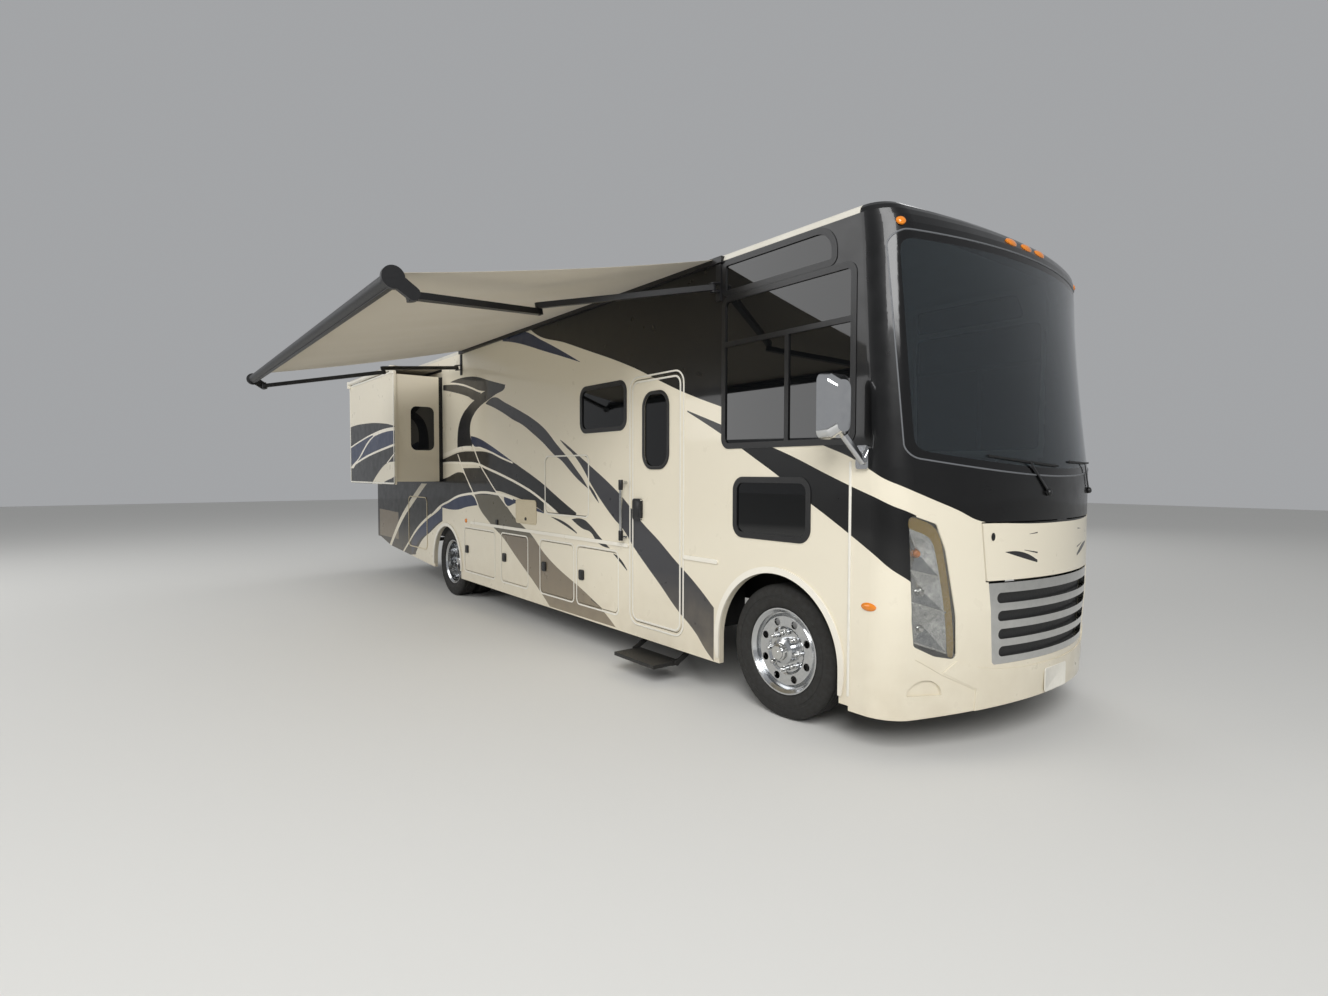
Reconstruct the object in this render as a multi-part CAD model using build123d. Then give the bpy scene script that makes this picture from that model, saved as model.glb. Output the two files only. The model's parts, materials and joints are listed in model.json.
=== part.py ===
from build123d import *
import os
from math import sqrt, sin, cos, asin, radians, degrees, hypot, atan2

# Class A motorhome, in millimetres. +X is forward, +Y is left (the street side), +Z is up.
# The origin is on the ground, on the centreline, midway between the axles.
os.makedirs("parts", exist_ok=True)

# Wheels and axles
WHEELBASE = 6147.0
TYRE_R = 470.0
TYRE_W = 235.0
RIM_R = 302.0
RIM_W = 190.0
BEAD_R = 285.0
BARREL_T = 14.0
FRONT_WHEEL_Y = 1100.0
REAR_OUTER_Y = 1100.0
DUAL_SPACING = 270.0
KINGPIN_Y = 960.0
KINGPIN_R = 22.0
SPINDLE_R = 38.0
HAND_HOLES = 8
LUGS = 8
LUG_CIRCLE_R = 128.0

# Body shell
BODY_W = 2565.0
WALL = 45.0
TOP_Z = 3342.0
ROOF_R = 60.0
SKIRT_Z = 270.0
FLOOR_Z = 1090.0
FLOOR_T = 60.0
REAR_END_X = -6480.0
REAR_SEAM_X = REAR_END_X + 200
CAP_SEAM_X = 3700.0
PILLAR_X = CAP_SEAM_X + 45
PILLAR_Z = 1850.0
DECK_END_X = CAP_SEAM_X + 140
FRONT_ARCH_R = 555.0
REAR_ARCH_R = 500.0
FLARE_W = 45.0
FLARE_PROUD = 14.0
MOULDING_H = 34.0
MOULDING_PROUD = 10.0
HALF_W = BODY_W / 2
INNER_W = HALF_W - WALL
WIDE = HALF_W + 120
WALL_TOP = TOP_Z - ROOF_R
FRONT_X = WHEELBASE / 2
REAR_X = -WHEELBASE / 2
AXLE_Z = TYRE_R
FLOOR_LOW = FLOOR_Z - FLOOR_T

# Nose: how far ahead of the cap's seam the front and its corners reach at each height
NOSE_CORNER_R = 250.0
NOSE_LOW_Z = 240.0
BUMPER_Z = 900.0
SCUTTLE_Z = 1750.0
LOW_FRONT, LOW_CORNER = 660.0, 109.0
MID_FRONT, MID_CORNER = 700.0, 149.0
TOP_FRONT, TOP_CORNER = 436.0, 50.0
BROW_R = 200.0
BROW_CORNER_SHRINK = 0.7
EDGE_MIN = 5.0
BUMPER_PROUD = 7.0

# Clearances
SEAT = 0.3
DOOR_GAP = 7.5
HINGE_R = DOOR_GAP / 2 - SEAT
HINGE_IN = 1.0
PIN_GAP = 0.3

# Windshield and openings of the nose
SCREEN_LOW_HALF_W, SCREEN_TOP_HALF_W = HALF_W - 78, HALF_W - 42
SCREEN_SIDE_Z = 1815.0
SCREEN_LOW_Z = 1700.0
SCREEN_TOP_Z = 3152.0
SCREEN_R = 95.0
GLASS_T = 8.0
GRILLE_LOW_HALF_W, GRILLE_TOP_HALF_W = 646.0, 706.0
GRILLE_Z0, GRILLE_Z1 = 546.0, 1052.0
GRILLE_TAPER = (GRILLE_TOP_HALF_W - GRILLE_LOW_HALF_W) / (GRILLE_Z1 - GRILLE_Z0)
SLOT_H = 64.0
HATCH_LOW_HALF_W, HATCH_TOP_HALF_W = 728.0, 766.0
HATCH_Z0, HATCH_Z1 = 1060.0, 1424.0
HATCH_T = 16.0
HATCH_SIDE_GAP = 12.0
HATCH_HINGE_IN = 2.5
HATCH_HINGE_Y = 70.0
NOSE_CUT_X = CAP_SEAM_X + 200

# Slide-out rooms
ROOM_T = 35.0
ROOM_GAP = 8.0
FASCIA_T = 30.0
FASCIA_LIP = 40.0
CURB_ROOM_X0, CURB_ROOM_X1 = -5460.0, -3180.0
CURB_ROOM_Z0, CURB_ROOM_Z1 = 1550.0, 3080.0
CURB_ROOM_OUT = 668.0
STREET_ROOM_X0, STREET_ROOM_X1 = -1700.0, 1900.0
STREET_ROOM_Z0, STREET_ROOM_Z1 = 1330.0, 3080.0
STREET_ROOM_TRAVEL = 560.0

# Awning
AWNING_X = 2500.0
ARM_L = 1280.0
ARM_ANGLE = 61.2
AWNING_SLOPE = 9.3
SHOULDER_Y = HALF_W + 67.5
SHOULDER_Z = 3085.0
ARM_T = 40.0
ARM_W = 50.0
ROLLER_R = 42.0
FABRIC_T = 4.0



# Blocks and panels
def block(x0, x1, y0, y1, z0, z1):
    return Pos((x0 + x1) / 2, (y0 + y1) / 2, (z0 + z1) / 2) * Box(abs(x1 - x0), abs(y1 - y0), abs(z1 - z0))


def side_plane(y):
    """Plane across Y with X to the right and Z up, facing the curb."""
    return Plane(origin=(0, y, 0), x_dir=(1, 0, 0), z_dir=(0, -1, 0))


def front_plane(x):
    """Plane across X with Y to the right and Z up, facing forward."""
    return Plane(origin=(x, 0, 0), x_dir=(0, 1, 0), z_dir=(1, 0, 0))


def rounded(a0, a1, b0, b1, r):
    width, height = a1 - a0, b1 - b0
    outline = RectangleRounded(width, height, r) if r else Rectangle(width, height)
    return Pos((a0 + a1) / 2, (b0 + b1) / 2) * outline


def side_panel(x0, x1, z0, z1, r, y0, y1):
    low, high = min(y0, y1), max(y0, y1)
    return extrude(side_plane(high) * rounded(x0, x1, z0, z1, r), amount=high - low)


def front_panel(y0, y1, z0, z1, r, x0, x1):
    return extrude(front_plane(x0) * rounded(y0, y1, z0, z1, r), amount=x1 - x0)


def side_sheet(points, y0, y1):
    low, high = min(y0, y1), max(y0, y1)
    return extrude(side_plane(high) * Polygon(*points, align=None), amount=high - low, dir=(0, -1, 0))


def disc_y(x, z, r, y0, y1):
    return extrude(side_plane(max(y0, y1)) * (Pos(x, z) * Circle(r)), amount=abs(y1 - y0))


def post(x, y, r, z0, z1):
    return extrude(Plane.XY.offset(z0) * (Pos(x, y) * Circle(r)), amount=z1 - z0)


def tube_x(x0, x1, y, z, r):
    return extrude(front_plane(x0) * (Pos(y, z) * Circle(r)), amount=x1 - x0)


def save(name, shape):
    shape.label = name
    export_step(shape, "parts/" + name + ".step")


def group(shapes):
    return Compound(children=[s for shape in shapes for s in shape.solids()])


# Nose of the body, a ruled loft of bowed plan outlines
def nose_outline(front, corner, r, w, z):
    """Plan of the nose: straight sides to the corner's start, two corner arcs and a shallow bow."""
    rear_x = CAP_SEAM_X - 200
    reach = front - corner
    bow = (reach ** 2 + (w - r) ** 2 - r ** 2) / (2 * (reach - r))
    bow_x = front - bow
    ux, uy = (corner - bow_x) / (bow - r), (w - r) / (bow - r)
    tangent = (bow_x + ux * bow, uy * bow)
    mid = hypot(ux, 1 + uy)
    turn = (corner + r * ux / mid, w - r + r * (1 + uy) / mid)
    lines = Plane.XY.offset(z) * (
        Line((rear_x, -w), (corner, -w))
        + ThreePointArc((corner, -w), (turn[0], -turn[1]), (tangent[0], -tangent[1]))
        + ThreePointArc((tangent[0], -tangent[1]), (front, 0), tangent)
        + ThreePointArc(tangent, turn, (corner, w))
        + Line((corner, w), (rear_x, w))
        + Line((rear_x, w), (rear_x, -w))
    )
    return make_face(lines)


def front_at(z):
    """Reach of the front and of the corner's start at a height, before the brow rounds them off."""
    k = min(1.0, max(0.0, (z - SCUTTLE_Z) / (TOP_Z - SCUTTLE_Z)))
    front = MID_FRONT + k * (TOP_FRONT - MID_FRONT)
    return CAP_SEAM_X + front, CAP_SEAM_X + MID_CORNER + k * (TOP_CORNER - MID_CORNER)


def rounding(depth, r):
    """How far a quarter round of radius r has turned in at a depth below its top."""
    return r - sqrt(r * r - (r - depth) ** 2) if depth < r else 0.0


def nose(inset, bottom_z):
    top = TOP_Z - inset
    brow, edge = BROW_R - inset, max(ROOF_R - inset, EDGE_MIN)
    depths = [brow, edge + (brow - edge) * 0.6, edge + (brow - edge) * 0.25, edge]
    depths += [edge * (1 - sin(radians(a))) for a in (30, 60, 90)]
    levels = [(bottom_z, CAP_SEAM_X + LOW_FRONT, CAP_SEAM_X + LOW_CORNER)]
    levels += [(z, *front_at(z)) for z in (BUMPER_Z, SCUTTLE_Z, *(top - d for d in depths))]
    sections = []
    for z, front, corner in levels:
        back = rounding(top - z, brow)
        side = rounding(top - z, edge)
        r = NOSE_CORNER_R - inset - BROW_CORNER_SHRINK * back
        sections.append(nose_outline(front - inset - back, corner, r, HALF_W - inset - side, z))
    return loft(sections, ruled=True)


def nose_skin(outer, inner):
    """A layer of the nose between two depths below its surface."""
    return nose(outer, NOSE_LOW_Z) - nose(inner, NOSE_LOW_Z - 50)


def ahead(outline):
    """Prism forward from an outline drawn across the nose behind its skin."""
    return extrude(outline, amount=900, dir=(1, 0, 0))


def tapered(low_half_w, top_half_w, z0, z1, low_r, top_r):
    """Outline across the nose, narrower at its foot."""
    points = [(-low_half_w, z0), (low_half_w, z0), (top_half_w, z1), (-top_half_w, z1)]
    face = make_face(Polyline(*points, close=True))
    face = fillet(face.vertices().sort_by(Axis.Y)[:2], low_r)
    return front_plane(NOSE_CUT_X) * fillet(face.vertices().sort_by(Axis.Y)[-2:], top_r)


def screen_outline(grow):
    low, top = SCREEN_LOW_HALF_W + grow, SCREEN_TOP_HALF_W + grow
    side_z, low_z, top_z = SCREEN_SIDE_Z - grow, SCREEN_LOW_Z - grow, SCREEN_TOP_Z + grow
    face = make_face(
        ThreePointArc((-low, side_z), (0, low_z), (low, side_z))
        + Line((low, side_z), (top, top_z))
        + Line((top, top_z), (-top, top_z))
        + Line((-top, top_z), (-low, side_z))
    )
    return front_plane(CAP_SEAM_X + 60) * fillet(face.vertices(), SCREEN_R + grow)


# Headlamp opening on the left, as (distance from the centreline, height)
LAMP = [(1192.0, 1478.0), (1040.0, 1418.0), (985.0, 1262.0), (914.0, 852.0), (894.0, 600.0), (1030.0, 628.0),
        (1146.0, 690.0), (1166.0, 850.0)]
LAMP_R = 28.0
# Bumper's proud middle, right half, and the slim crease that runs down from the headlamp
BUMPER = [(0.0, 503.0), (381.0, 505.0), (607.0, 519.0), (758.0, 541.0), (892.0, 594.0), (975.0, 524.0), (753.0, 409.0),
          (753.0, 200.0), (0.0, 200.0)]
CREASE = [(1134.0, 613.0), (981.0, 528.0), (753.0, 413.0), (757.0, 403.0), (984.0, 516.0)]
CREASE_PROUD = 4.0
# Pocket for a fog lamp: centre, half width, height and depth
FOG_Y, FOG_Z, FOG_HALF_W, FOG_H, FOG_DEPTH = 1067.0, 388.0, 98.0, 96.0, 16.0
BUMPER_RISE = 58.0


def lamp_outline(side, shrink=0.0):
    face = make_face(Polyline(*[(side * y, z) for y, z in LAMP], close=True))
    face = fillet(face.vertices(), LAMP_R)
    return front_plane(CAP_SEAM_X + 60) * (offset(face, -shrink) if shrink else face)


def fog_outline(side):
    y, z, w = side * FOG_Y, FOG_Z, FOG_HALF_W
    face = make_face(ThreePointArc((y - w, z), (y, z + FOG_H), (y + w, z)) + Line((y + w, z), (y - w, z)))
    return front_plane(NOSE_CUT_X) * face


def bumper_relief():
    """Proud middle of the bumper and the creases beside it."""
    layers = []
    for points, proud in ((BUMPER, BUMPER_PROUD), (CREASE, CREASE_PROUD)):
        skin = nose_skin(-proud, 5)
        for side in (-1, 1):
            face = make_face(Polyline(*[(side * y, z) for y, z in points], close=True))
            layers.append(skin & ahead(front_plane(NOSE_CUT_X) * face))
    return layers


def make_front_cap():
    cap = nose_skin(0, WALL)
    for layer in bumper_relief():
        cap += layer
    low, reach = NOSE_LOW_Z, HALF_W - 130
    arch = ThreePointArc((-reach, low), (0, low + BUMPER_RISE), (reach, low)) + Line((reach, low), (-reach, low))
    cap -= ahead(front_plane(NOSE_CUT_X) * make_face(arch))
    cap -= block(CAP_SEAM_X - 400, CAP_SEAM_X, -WIDE, WIDE, 0, PILLAR_Z)
    cap -= block(CAP_SEAM_X - 400, PILLAR_X, -WIDE, WIDE, PILLAR_Z, TOP_Z + 10)
    cap -= ahead(screen_outline(0))
    cut_top = HATCH_Z0 + 2
    cut_half_w = GRILLE_LOW_HALF_W + GRILLE_TAPER * (cut_top - GRILLE_Z0)
    cap -= ahead(tapered(GRILLE_LOW_HALF_W, cut_half_w, GRILLE_Z0, cut_top, 30, 3))
    cap -= ahead(tapered(HATCH_LOW_HALF_W, HATCH_TOP_HALF_W, HATCH_Z0, HATCH_Z1, 6, 6))
    pocket_floor = nose(FOG_DEPTH, NOSE_LOW_Z)
    for side in (-1, 1):
        cap -= ahead(lamp_outline(side))
        cap -= ahead(fog_outline(side)) - pocket_floor
    return cap


def make_windshield():
    return nose_skin(4, 4 + GLASS_T) & ahead(screen_outline(-SEAT))


def make_headlamps():
    layer = nose_skin(6, 6 + 60)
    return group([layer & ahead(lamp_outline(side, SEAT)) for side in (-1, 1)])


# Grille slots: half width, bottom
SLOTS = [(598.0, 592.0), (612.0, 702.0), (626.0, 815.0), (638.0, 927.0)]


def make_grille():
    low, top = GRILLE_LOW_HALF_W - SEAT, GRILLE_TOP_HALF_W - SEAT
    grille = nose_skin(2, 34) & ahead(tapered(low, top, GRILLE_Z0 + SEAT, GRILLE_Z1, 30 - SEAT, 10))
    for half_w, z in SLOTS:
        grille -= ahead(front_plane(NOSE_CUT_X) * rounded(-half_w, half_w, z, z + SLOT_H, SLOT_H / 2 - 2))
    return grille


def make_hatch():
    low, top = HATCH_LOW_HALF_W - HATCH_SIDE_GAP, HATCH_TOP_HALF_W - HATCH_SIDE_GAP
    door = nose_skin(0, HATCH_T) & ahead(tapered(low, top, HATCH_Z0 + DOOR_GAP, HATCH_Z1 - DOOR_GAP, 6, 6))
    x, z = CAP_SEAM_X + MID_FRONT - HATCH_HINGE_IN, HATCH_Z1 - DOOR_GAP / 2
    door += block(x - 2, x, -HATCH_HINGE_Y, HATCH_HINGE_Y, z - DOOR_GAP, z)
    return door + disc_y(x, z, HINGE_R, -HATCH_HINGE_Y, HATCH_HINGE_Y)


# Windows: x0, x1, z0, z1, corner radius, radius of the top front corner
CAB_FRONT_X = PILLAR_X - 41
CAB_WINDOW = (2560.0, CAB_FRONT_X, 1922.0, 2985.0, 50.0, 50.0)
CAB_TOP_WINDOW = (2560.0, CAB_FRONT_X - 150, 3042.0, WALL_TOP - 32, 30.0, 140.0)
CURB_WINDOWS = [
    (527.0, 1268.0, 2122.0, 2518.0, 80.0, 80.0),
    (2688.0, 3362.0, 1278.0, 1662.0, 70.0, 70.0),
    CAB_WINDOW,
    CAB_TOP_WINDOW,
]
STREET_WINDOWS = [
    (-4900.0, -4100.0, 2050.0, 2600.0, 90.0, 90.0),
    (-3400.0, -2400.0, 2050.0, 2600.0, 90.0, 90.0),
    CAB_WINDOW,
    CAB_TOP_WINDOW,
]
# Doors: x0, x1, z0, z1, corner radius
ENTRY = (1370.0, 2070.0, 410.0, 2520.0, 90.0)
ENTRY_GLASS = (1560.0, 1880.0, 1770.0, 2380.0, 110.0)
# Baggage doors: name, x0, x1, z0, z1, corner radius, side
BAGGAGE = [
    ("baggage_door_rear", -2440.0, -1510.0, 430.0, 990.0, 40.0, -1),
    ("baggage_door_1", -1310.0, -640.0, 430.0, 990.0, 55.0, -1),
    ("baggage_door_2", -330.0, 360.0, 430.0, 990.0, 55.0, -1),
    ("baggage_door_3", 440.0, 1150.0, 430.0, 990.0, 55.0, -1),
    ("baggage_door_street_rear", -2440.0, -1510.0, 430.0, 990.0, 40.0, 1),
    ("baggage_door_street_front", 440.0, 1150.0, 430.0, 990.0, 55.0, 1),
]
TV_DOOR = (-210.0, 650.0, 1290.0, 1880.0, 60.0)


def window_panel(row, grow, y0, y1):
    """Slab in a window's outline, grown or shrunk all round."""
    x0, x1, z0, z1, r, front_r = row
    face = make_face(Polyline((x0 - grow, z0 - grow), (x1 + grow, z0 - grow), (x1 + grow, z1 + grow),
                              (x0 - grow, z1 + grow), close=True))
    corner = face.vertices().sort_by(lambda v: v.X + v.Y)[-1:]
    face = fillet(corner, front_r + grow)
    others = [v for v in face.vertices() if v.X < x0 - grow + 1 or v.Y < z0 - grow + 1]
    others = fillet(others, r + grow)
    return extrude(side_plane(max(y0, y1)) * others, amount=abs(y1 - y0), dir=(0, -1, 0))


def wall_blank(side):
    points = [
        (CAP_SEAM_X, SKIRT_Z), (CAP_SEAM_X, PILLAR_Z), (PILLAR_X, PILLAR_Z), (PILLAR_X, WALL_TOP),
        (REAR_SEAM_X, WALL_TOP), (REAR_SEAM_X, 605.0), (REAR_X - 2600, 487.0), (REAR_X - 480, 347.0),
        (REAR_X + 470, SKIRT_Z + 30),
    ]
    y0, y1 = side * INNER_W, side * HALF_W
    wall = side_sheet(points, y0, y1)
    for x, r in ((FRONT_X, FRONT_ARCH_R), (REAR_X, REAR_ARCH_R)):
        flare = disc_y(x, AXLE_Z, r + FLARE_W, y1 - side * 10, y1 + side * FLARE_PROUD)
        low = 320.0 if x > 0 else 400.0
        wall += flare - block(x - 800, x + 800, -WIDE, WIDE, -500, low)
        wall -= disc_y(x, AXLE_Z, r, y0 - side * 20, y1 + side * 40)
        wall -= block(x - r, x + r, y0 - side * 20, y1 + side * 40, 0, AXLE_Z)
    return wall


def moulding(x0, x1, z, side):
    y, half = side * HALF_W, MOULDING_H / 2
    return side_panel(x0, x1, z - half, z + half, half - 1, y - side * 5, y + side * MOULDING_PROUD)


def cut_openings(wall, windows, side):
    y0, y1 = side * (INNER_W - 30), side * (HALF_W + 30)
    for row in windows:
        wall -= window_panel(row, 0, y0, y1)
    for name, x0, x1, z0, z1, r, door_side in BAGGAGE:
        if door_side == side:
            wall -= side_panel(x0, x1, z0, z1, r, y0, y1)
    return wall


def room_cut(x0, x1, z0, z1, side):
    lip = FASCIA_LIP - ROOM_GAP
    return side_panel(x0 + lip, x1 - lip, z0 + lip, z1 - lip, 0, side * (INNER_W - 30), side * (HALF_W + 30))


def make_curb_wall():
    wall = wall_blank(-1)
    wall += moulding(-2230.0, 1330.0, 1070.0, -1)
    wall += moulding(2090.0, 2500.0, 1045.0, -1)
    wall = cut_openings(wall, CURB_WINDOWS, -1)
    wall -= side_panel(*ENTRY, -(INNER_W - 30), -(HALF_W + 30))
    wall -= side_panel(*TV_DOOR, -(INNER_W - 30), -(HALF_W + 30))
    wall -= room_cut(CURB_ROOM_X0, CURB_ROOM_X1, CURB_ROOM_Z0, CURB_ROOM_Z1, -1)
    return wall


def make_street_wall():
    wall = wall_blank(1)
    wall += moulding(-2230.0, 2480.0, 1070.0, 1)
    wall = cut_openings(wall, STREET_WINDOWS, 1)
    wall -= room_cut(STREET_ROOM_X0, STREET_ROOM_X1, STREET_ROOM_Z0, STREET_ROOM_Z1, 1)
    return wall


# Window frames and fixed panes
FRAME_LIP = 28.0
FRAME_PROUD = 5.0
FRAME_IN = 14.0


def frame_ring(row, side):
    y = side * HALF_W
    flange = window_panel(row, FRAME_LIP, y + side * SEAT, y + side * FRAME_PROUD)
    sleeve = window_panel(row, -SEAT, y - side * 40, y + side * (SEAT + 1))
    return (flange + sleeve) - window_panel(row, -FRAME_IN, y - side * 50, y + side * 20)


def pane(row, side):
    y = side * (HALF_W - 6)
    return window_panel(row, -FRAME_IN - SEAT, y, y - side * GLASS_T)


CAB_BAR_Z = 2662.0
CAB_MULLION_X = 3172.0
BAR = 36.0


def cab_bars(side, grow=0.0):
    """Cross bar and mullion of the tall cab window."""
    x0, x1, z0 = CAB_WINDOW[:3]
    y0, y1 = side * (HALF_W - 30), side * (HALF_W + FRAME_PROUD)
    half = BAR / 2 + grow
    end = FRAME_IN - 4 - grow * 20
    bar = block(x0 + end, x1 - end, y0, y1, CAB_BAR_Z - half, CAB_BAR_Z + half)
    return bar + block(CAB_MULLION_X - half, CAB_MULLION_X + half, y0, y1, z0 + end, CAB_BAR_Z)


def make_frames():
    frames = []
    for side, windows in ((-1, CURB_WINDOWS), (1, STREET_WINDOWS)):
        for row in windows:
            ring = frame_ring(row, side)
            frames.append(ring + cab_bars(side) if row == CAB_WINDOW else ring)
    return group(frames)


def make_panes():
    panes = []
    for side, windows in ((-1, CURB_WINDOWS), (1, STREET_WINDOWS)):
        for row in windows:
            glass = pane(row, side)
            panes.append(glass - cab_bars(side, SEAT) if row == CAB_WINDOW else glass)
    return group(panes)


# Roof, rear cap and floor
def make_roof():
    w, r = HALF_W, ROOF_R
    outer = Pos(0, (TOP_Z + WALL_TOP - 200) / 2) * Rectangle(2 * w, TOP_Z - WALL_TOP + 200)
    outer = fillet(outer.vertices().sort_by(Axis.Y)[2:], r)
    inner = Pos(0, (TOP_Z - WALL + WALL_TOP - 200) / 2) * Rectangle(2 * (w - WALL), TOP_Z - WALL - WALL_TOP + 200)
    inner = fillet(inner.vertices().sort_by(Axis.Y)[2:], r - WALL)
    section = outer - inner - Pos(0, WALL_TOP - 150) * Rectangle(2 * w + 10, 300)
    return extrude(front_plane(REAR_SEAM_X) * section, amount=PILLAR_X - REAR_SEAM_X)


REAR_CORNER_R = 85.0
REAR_LOW_Z = 600.0


def rear_shape(inset, seam_x, low):
    w = HALF_W - inset
    x0 = REAR_END_X + inset
    plan = Pos((x0 + seam_x) / 2, 0) * Rectangle(seam_x - x0, 2 * w)
    plan = fillet(plan.vertices().sort_by(Axis.X)[:2], REAR_CORNER_R - inset)
    solid = extrude(Plane.XY.offset(low) * plan, amount=TOP_Z - inset - low)
    rim = [e for e in solid.edges() if e.center().Z > TOP_Z - inset - 1 and e.center().X < seam_x - 1]
    return fillet(rim, ROOF_R - inset - 6)


def make_rear_cap():
    cap = rear_shape(0, REAR_SEAM_X, REAR_LOW_Z) - rear_shape(WALL, REAR_SEAM_X + 50, REAR_LOW_Z - 50)
    bumper = block(REAR_END_X - 60, REAR_END_X + 20, -HALF_W + 90, HALF_W - 90, 640, 860)
    bumper = fillet(bumper.edges().filter_by(Axis.Y), 20)
    return cap + (bumper - block(REAR_END_X + 10, REAR_END_X + 400, -WIDE, WIDE, 500, 900))


STEP_Y = 620.0
# Opening over the engine, under the cover between the cab seats
COVER_X0 = CAP_SEAM_X - 780
COVER_Y = 400.0


def make_floor():
    deck = block(REAR_END_X + WALL + SEAT, DECK_END_X, -INNER_W + SEAT, INNER_W - SEAT, FLOOR_LOW, FLOOR_Z)
    deck = fillet(deck.edges().filter_by(Axis.Z).sort_by(Axis.X)[:2], REAR_CORNER_R - WALL + 2)
    deck -= block(COVER_X0 + 30, DECK_END_X + 20, -COVER_Y, COVER_Y, FLOOR_LOW - 10, FLOOR_Z + 10)
    x0, x1, z0 = ENTRY[0], ENTRY[1], ENTRY[2]
    y0 = -INNER_W + SEAT
    deck -= block(x0, x1, -INNER_W - 50, -STEP_Y, FLOOR_LOW - 10, FLOOR_Z + 10)
    well = block(x0 - 25, x1 + 25, y0, -STEP_Y + 25, z0 + 10, FLOOR_LOW + 20)
    well -= block(x0, x1, y0 - 50, -STEP_Y, z0 + 35, FLOOR_Z + 50)
    tread = block(x0 - 5, x1 + 5, -STEP_Y - 300, -STEP_Y + 5, z0 + 320, z0 + 345)
    riser = block(x0 - 5, x1 + 5, -STEP_Y - 300, -STEP_Y - 275, z0 + 20, z0 + 330)
    return deck + well + tread + riser + make_step_base()


BAY_T = 20.0
BAY_Y = 530.0
TV_BAY_DEPTH = 260.0


def make_bays():
    bays = []
    for name, x0, x1, z0, z1, r, side in BAGGAGE:
        y0, y1 = side * BAY_Y, side * (INNER_W - SEAT)
        shell = block(x0 - BAY_T, x1 + BAY_T, y0, y1, z0 - BAY_T, FLOOR_LOW - SEAT)
        shell -= block(x0, x1, y0 + side * BAY_T, y1 + side * 50, z0, z1 + 20)
        bays.append(shell)
    x0, x1, z0, z1, r = TV_DOOR
    y0, y1 = -(INNER_W - SEAT), -(INNER_W - TV_BAY_DEPTH)
    shell = block(x0 - BAY_T, x1 + BAY_T, y0, y1, z0 - BAY_T, z1 + BAY_T)
    shell -= block(x0, x1, y0 - 50, y1 - BAY_T, z0, z1)
    bays.append(shell)
    return group(bays)


# Chassis
RAIL_Y = 432.0
RAIL_Z0, RAIL_Z1 = 600.0, 850.0
RAIL_T = 8.0
RAIL_FLANGE = 70.0
RAIL_X0, RAIL_X1 = REAR_END_X + 100, CAP_SEAM_X + 450
OUTRIGGERS = (REAR_END_X + 380, -5200.0, -4300.0, REAR_X + 553.5, -1410.0, 400.0, 1260.0, 2260.0)
CROSS_BARS = (REAR_END_X + 150, -5300.0, REAR_X + 773.5, -900.0, 600.0, 2200.0, RAIL_X1 - 60)
OUTRIGGER_T = 36.0
FRONT_SPRING, REAR_SPRING = 640.0, 720.0
HANGER_Z = 590.0
RECEIVER = 63.5
RECEIVER_IN = 51.0
HITCH_PIN_R = 8.1
HITCH_X = REAR_END_X - 60
HITCH_BAR_X0, HITCH_BAR_X1 = REAR_END_X + 120, REAR_END_X + 180
HITCH_Z = 480.0


def make_chassis():
    frame = None
    inside = RAIL_Y - RAIL_FLANGE
    for side in (-1, 1):
        rail = block(RAIL_X0, RAIL_X1, side * inside, side * RAIL_Y, RAIL_Z0, RAIL_Z1)
        rail -= block(RAIL_X0 - 5, RAIL_X1 + 5, side * (inside - 5), side * (RAIL_Y - RAIL_T),
                      RAIL_Z0 + RAIL_T, RAIL_Z1 - RAIL_T)
        frame = rail if frame is None else frame + rail
        frame += block(HITCH_BAR_X0, HITCH_BAR_X1, side * (RAIL_Y - 12), side * RAIL_Y, HITCH_Z - 40, RAIL_Z0 + 40)
    for x in CROSS_BARS:
        frame += block(x - 30, x + 30, -RAIL_Y + 4, RAIL_Y - 4, RAIL_Z0 + 60, RAIL_Z1 - 40)
    for x in OUTRIGGERS:
        x0, x1 = x - OUTRIGGER_T / 2, x + OUTRIGGER_T / 2
        frame += block(x0, x1, -INNER_W + 20, INNER_W - 20, FLOOR_LOW - 40, FLOOR_LOW - SEAT)
        for side in (-1, 1):
            frame += block(x0, x1, side * (RAIL_Y - 60), side * RAIL_Y, RAIL_Z1 - 4, FLOOR_LOW - 30)
    frame += block(HITCH_BAR_X0, HITCH_BAR_X1, -RAIL_Y, RAIL_Y, HITCH_Z - 32, HITCH_Z + 32)
    half = RECEIVER / 2
    frame += block(HITCH_X, HITCH_BAR_X1, -half, half, HITCH_Z - half, HITCH_Z + half)
    inner = RECEIVER_IN / 2
    frame -= block(HITCH_X - 5, HITCH_BAR_X1 - 10, -inner, inner, HITCH_Z - inner, HITCH_Z + inner)
    frame -= disc_y(HITCH_X + 60, HITCH_Z, HITCH_PIN_R, -half - 5, half + 5)
    for x, half_span in ((FRONT_X, FRONT_SPRING), (REAR_X, REAR_SPRING)):
        for side in (-1, 1):
            for end in (-1, 1):
                ex = x + end * half_span
                frame += block(ex - 35, ex + 35, side * RAIL_Y, side * (RAIL_Y + 90), HANGER_Z, HANGER_Z + 170)
    return frame


ENGINE_X0, ENGINE_X1 = FRONT_X - 73.5, FRONT_X + 806.5
ENGINE_Y = 330.0


def make_engine():
    body = block(ENGINE_X0, ENGINE_X1, -ENGINE_Y, ENGINE_Y, 560, 1240)
    for side in (-1, 1):
        body += block(ENGINE_X0 + 500, ENGINE_X0 + 600, side * (ENGINE_Y - 10), side * (RAIL_Y - RAIL_T - SEAT), 690, 750)
    return body - block(ENGINE_X0 - 10, FRONT_X + 130, -ENGINE_Y - 10, ENGINE_Y + 10, 550, 620)


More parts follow.
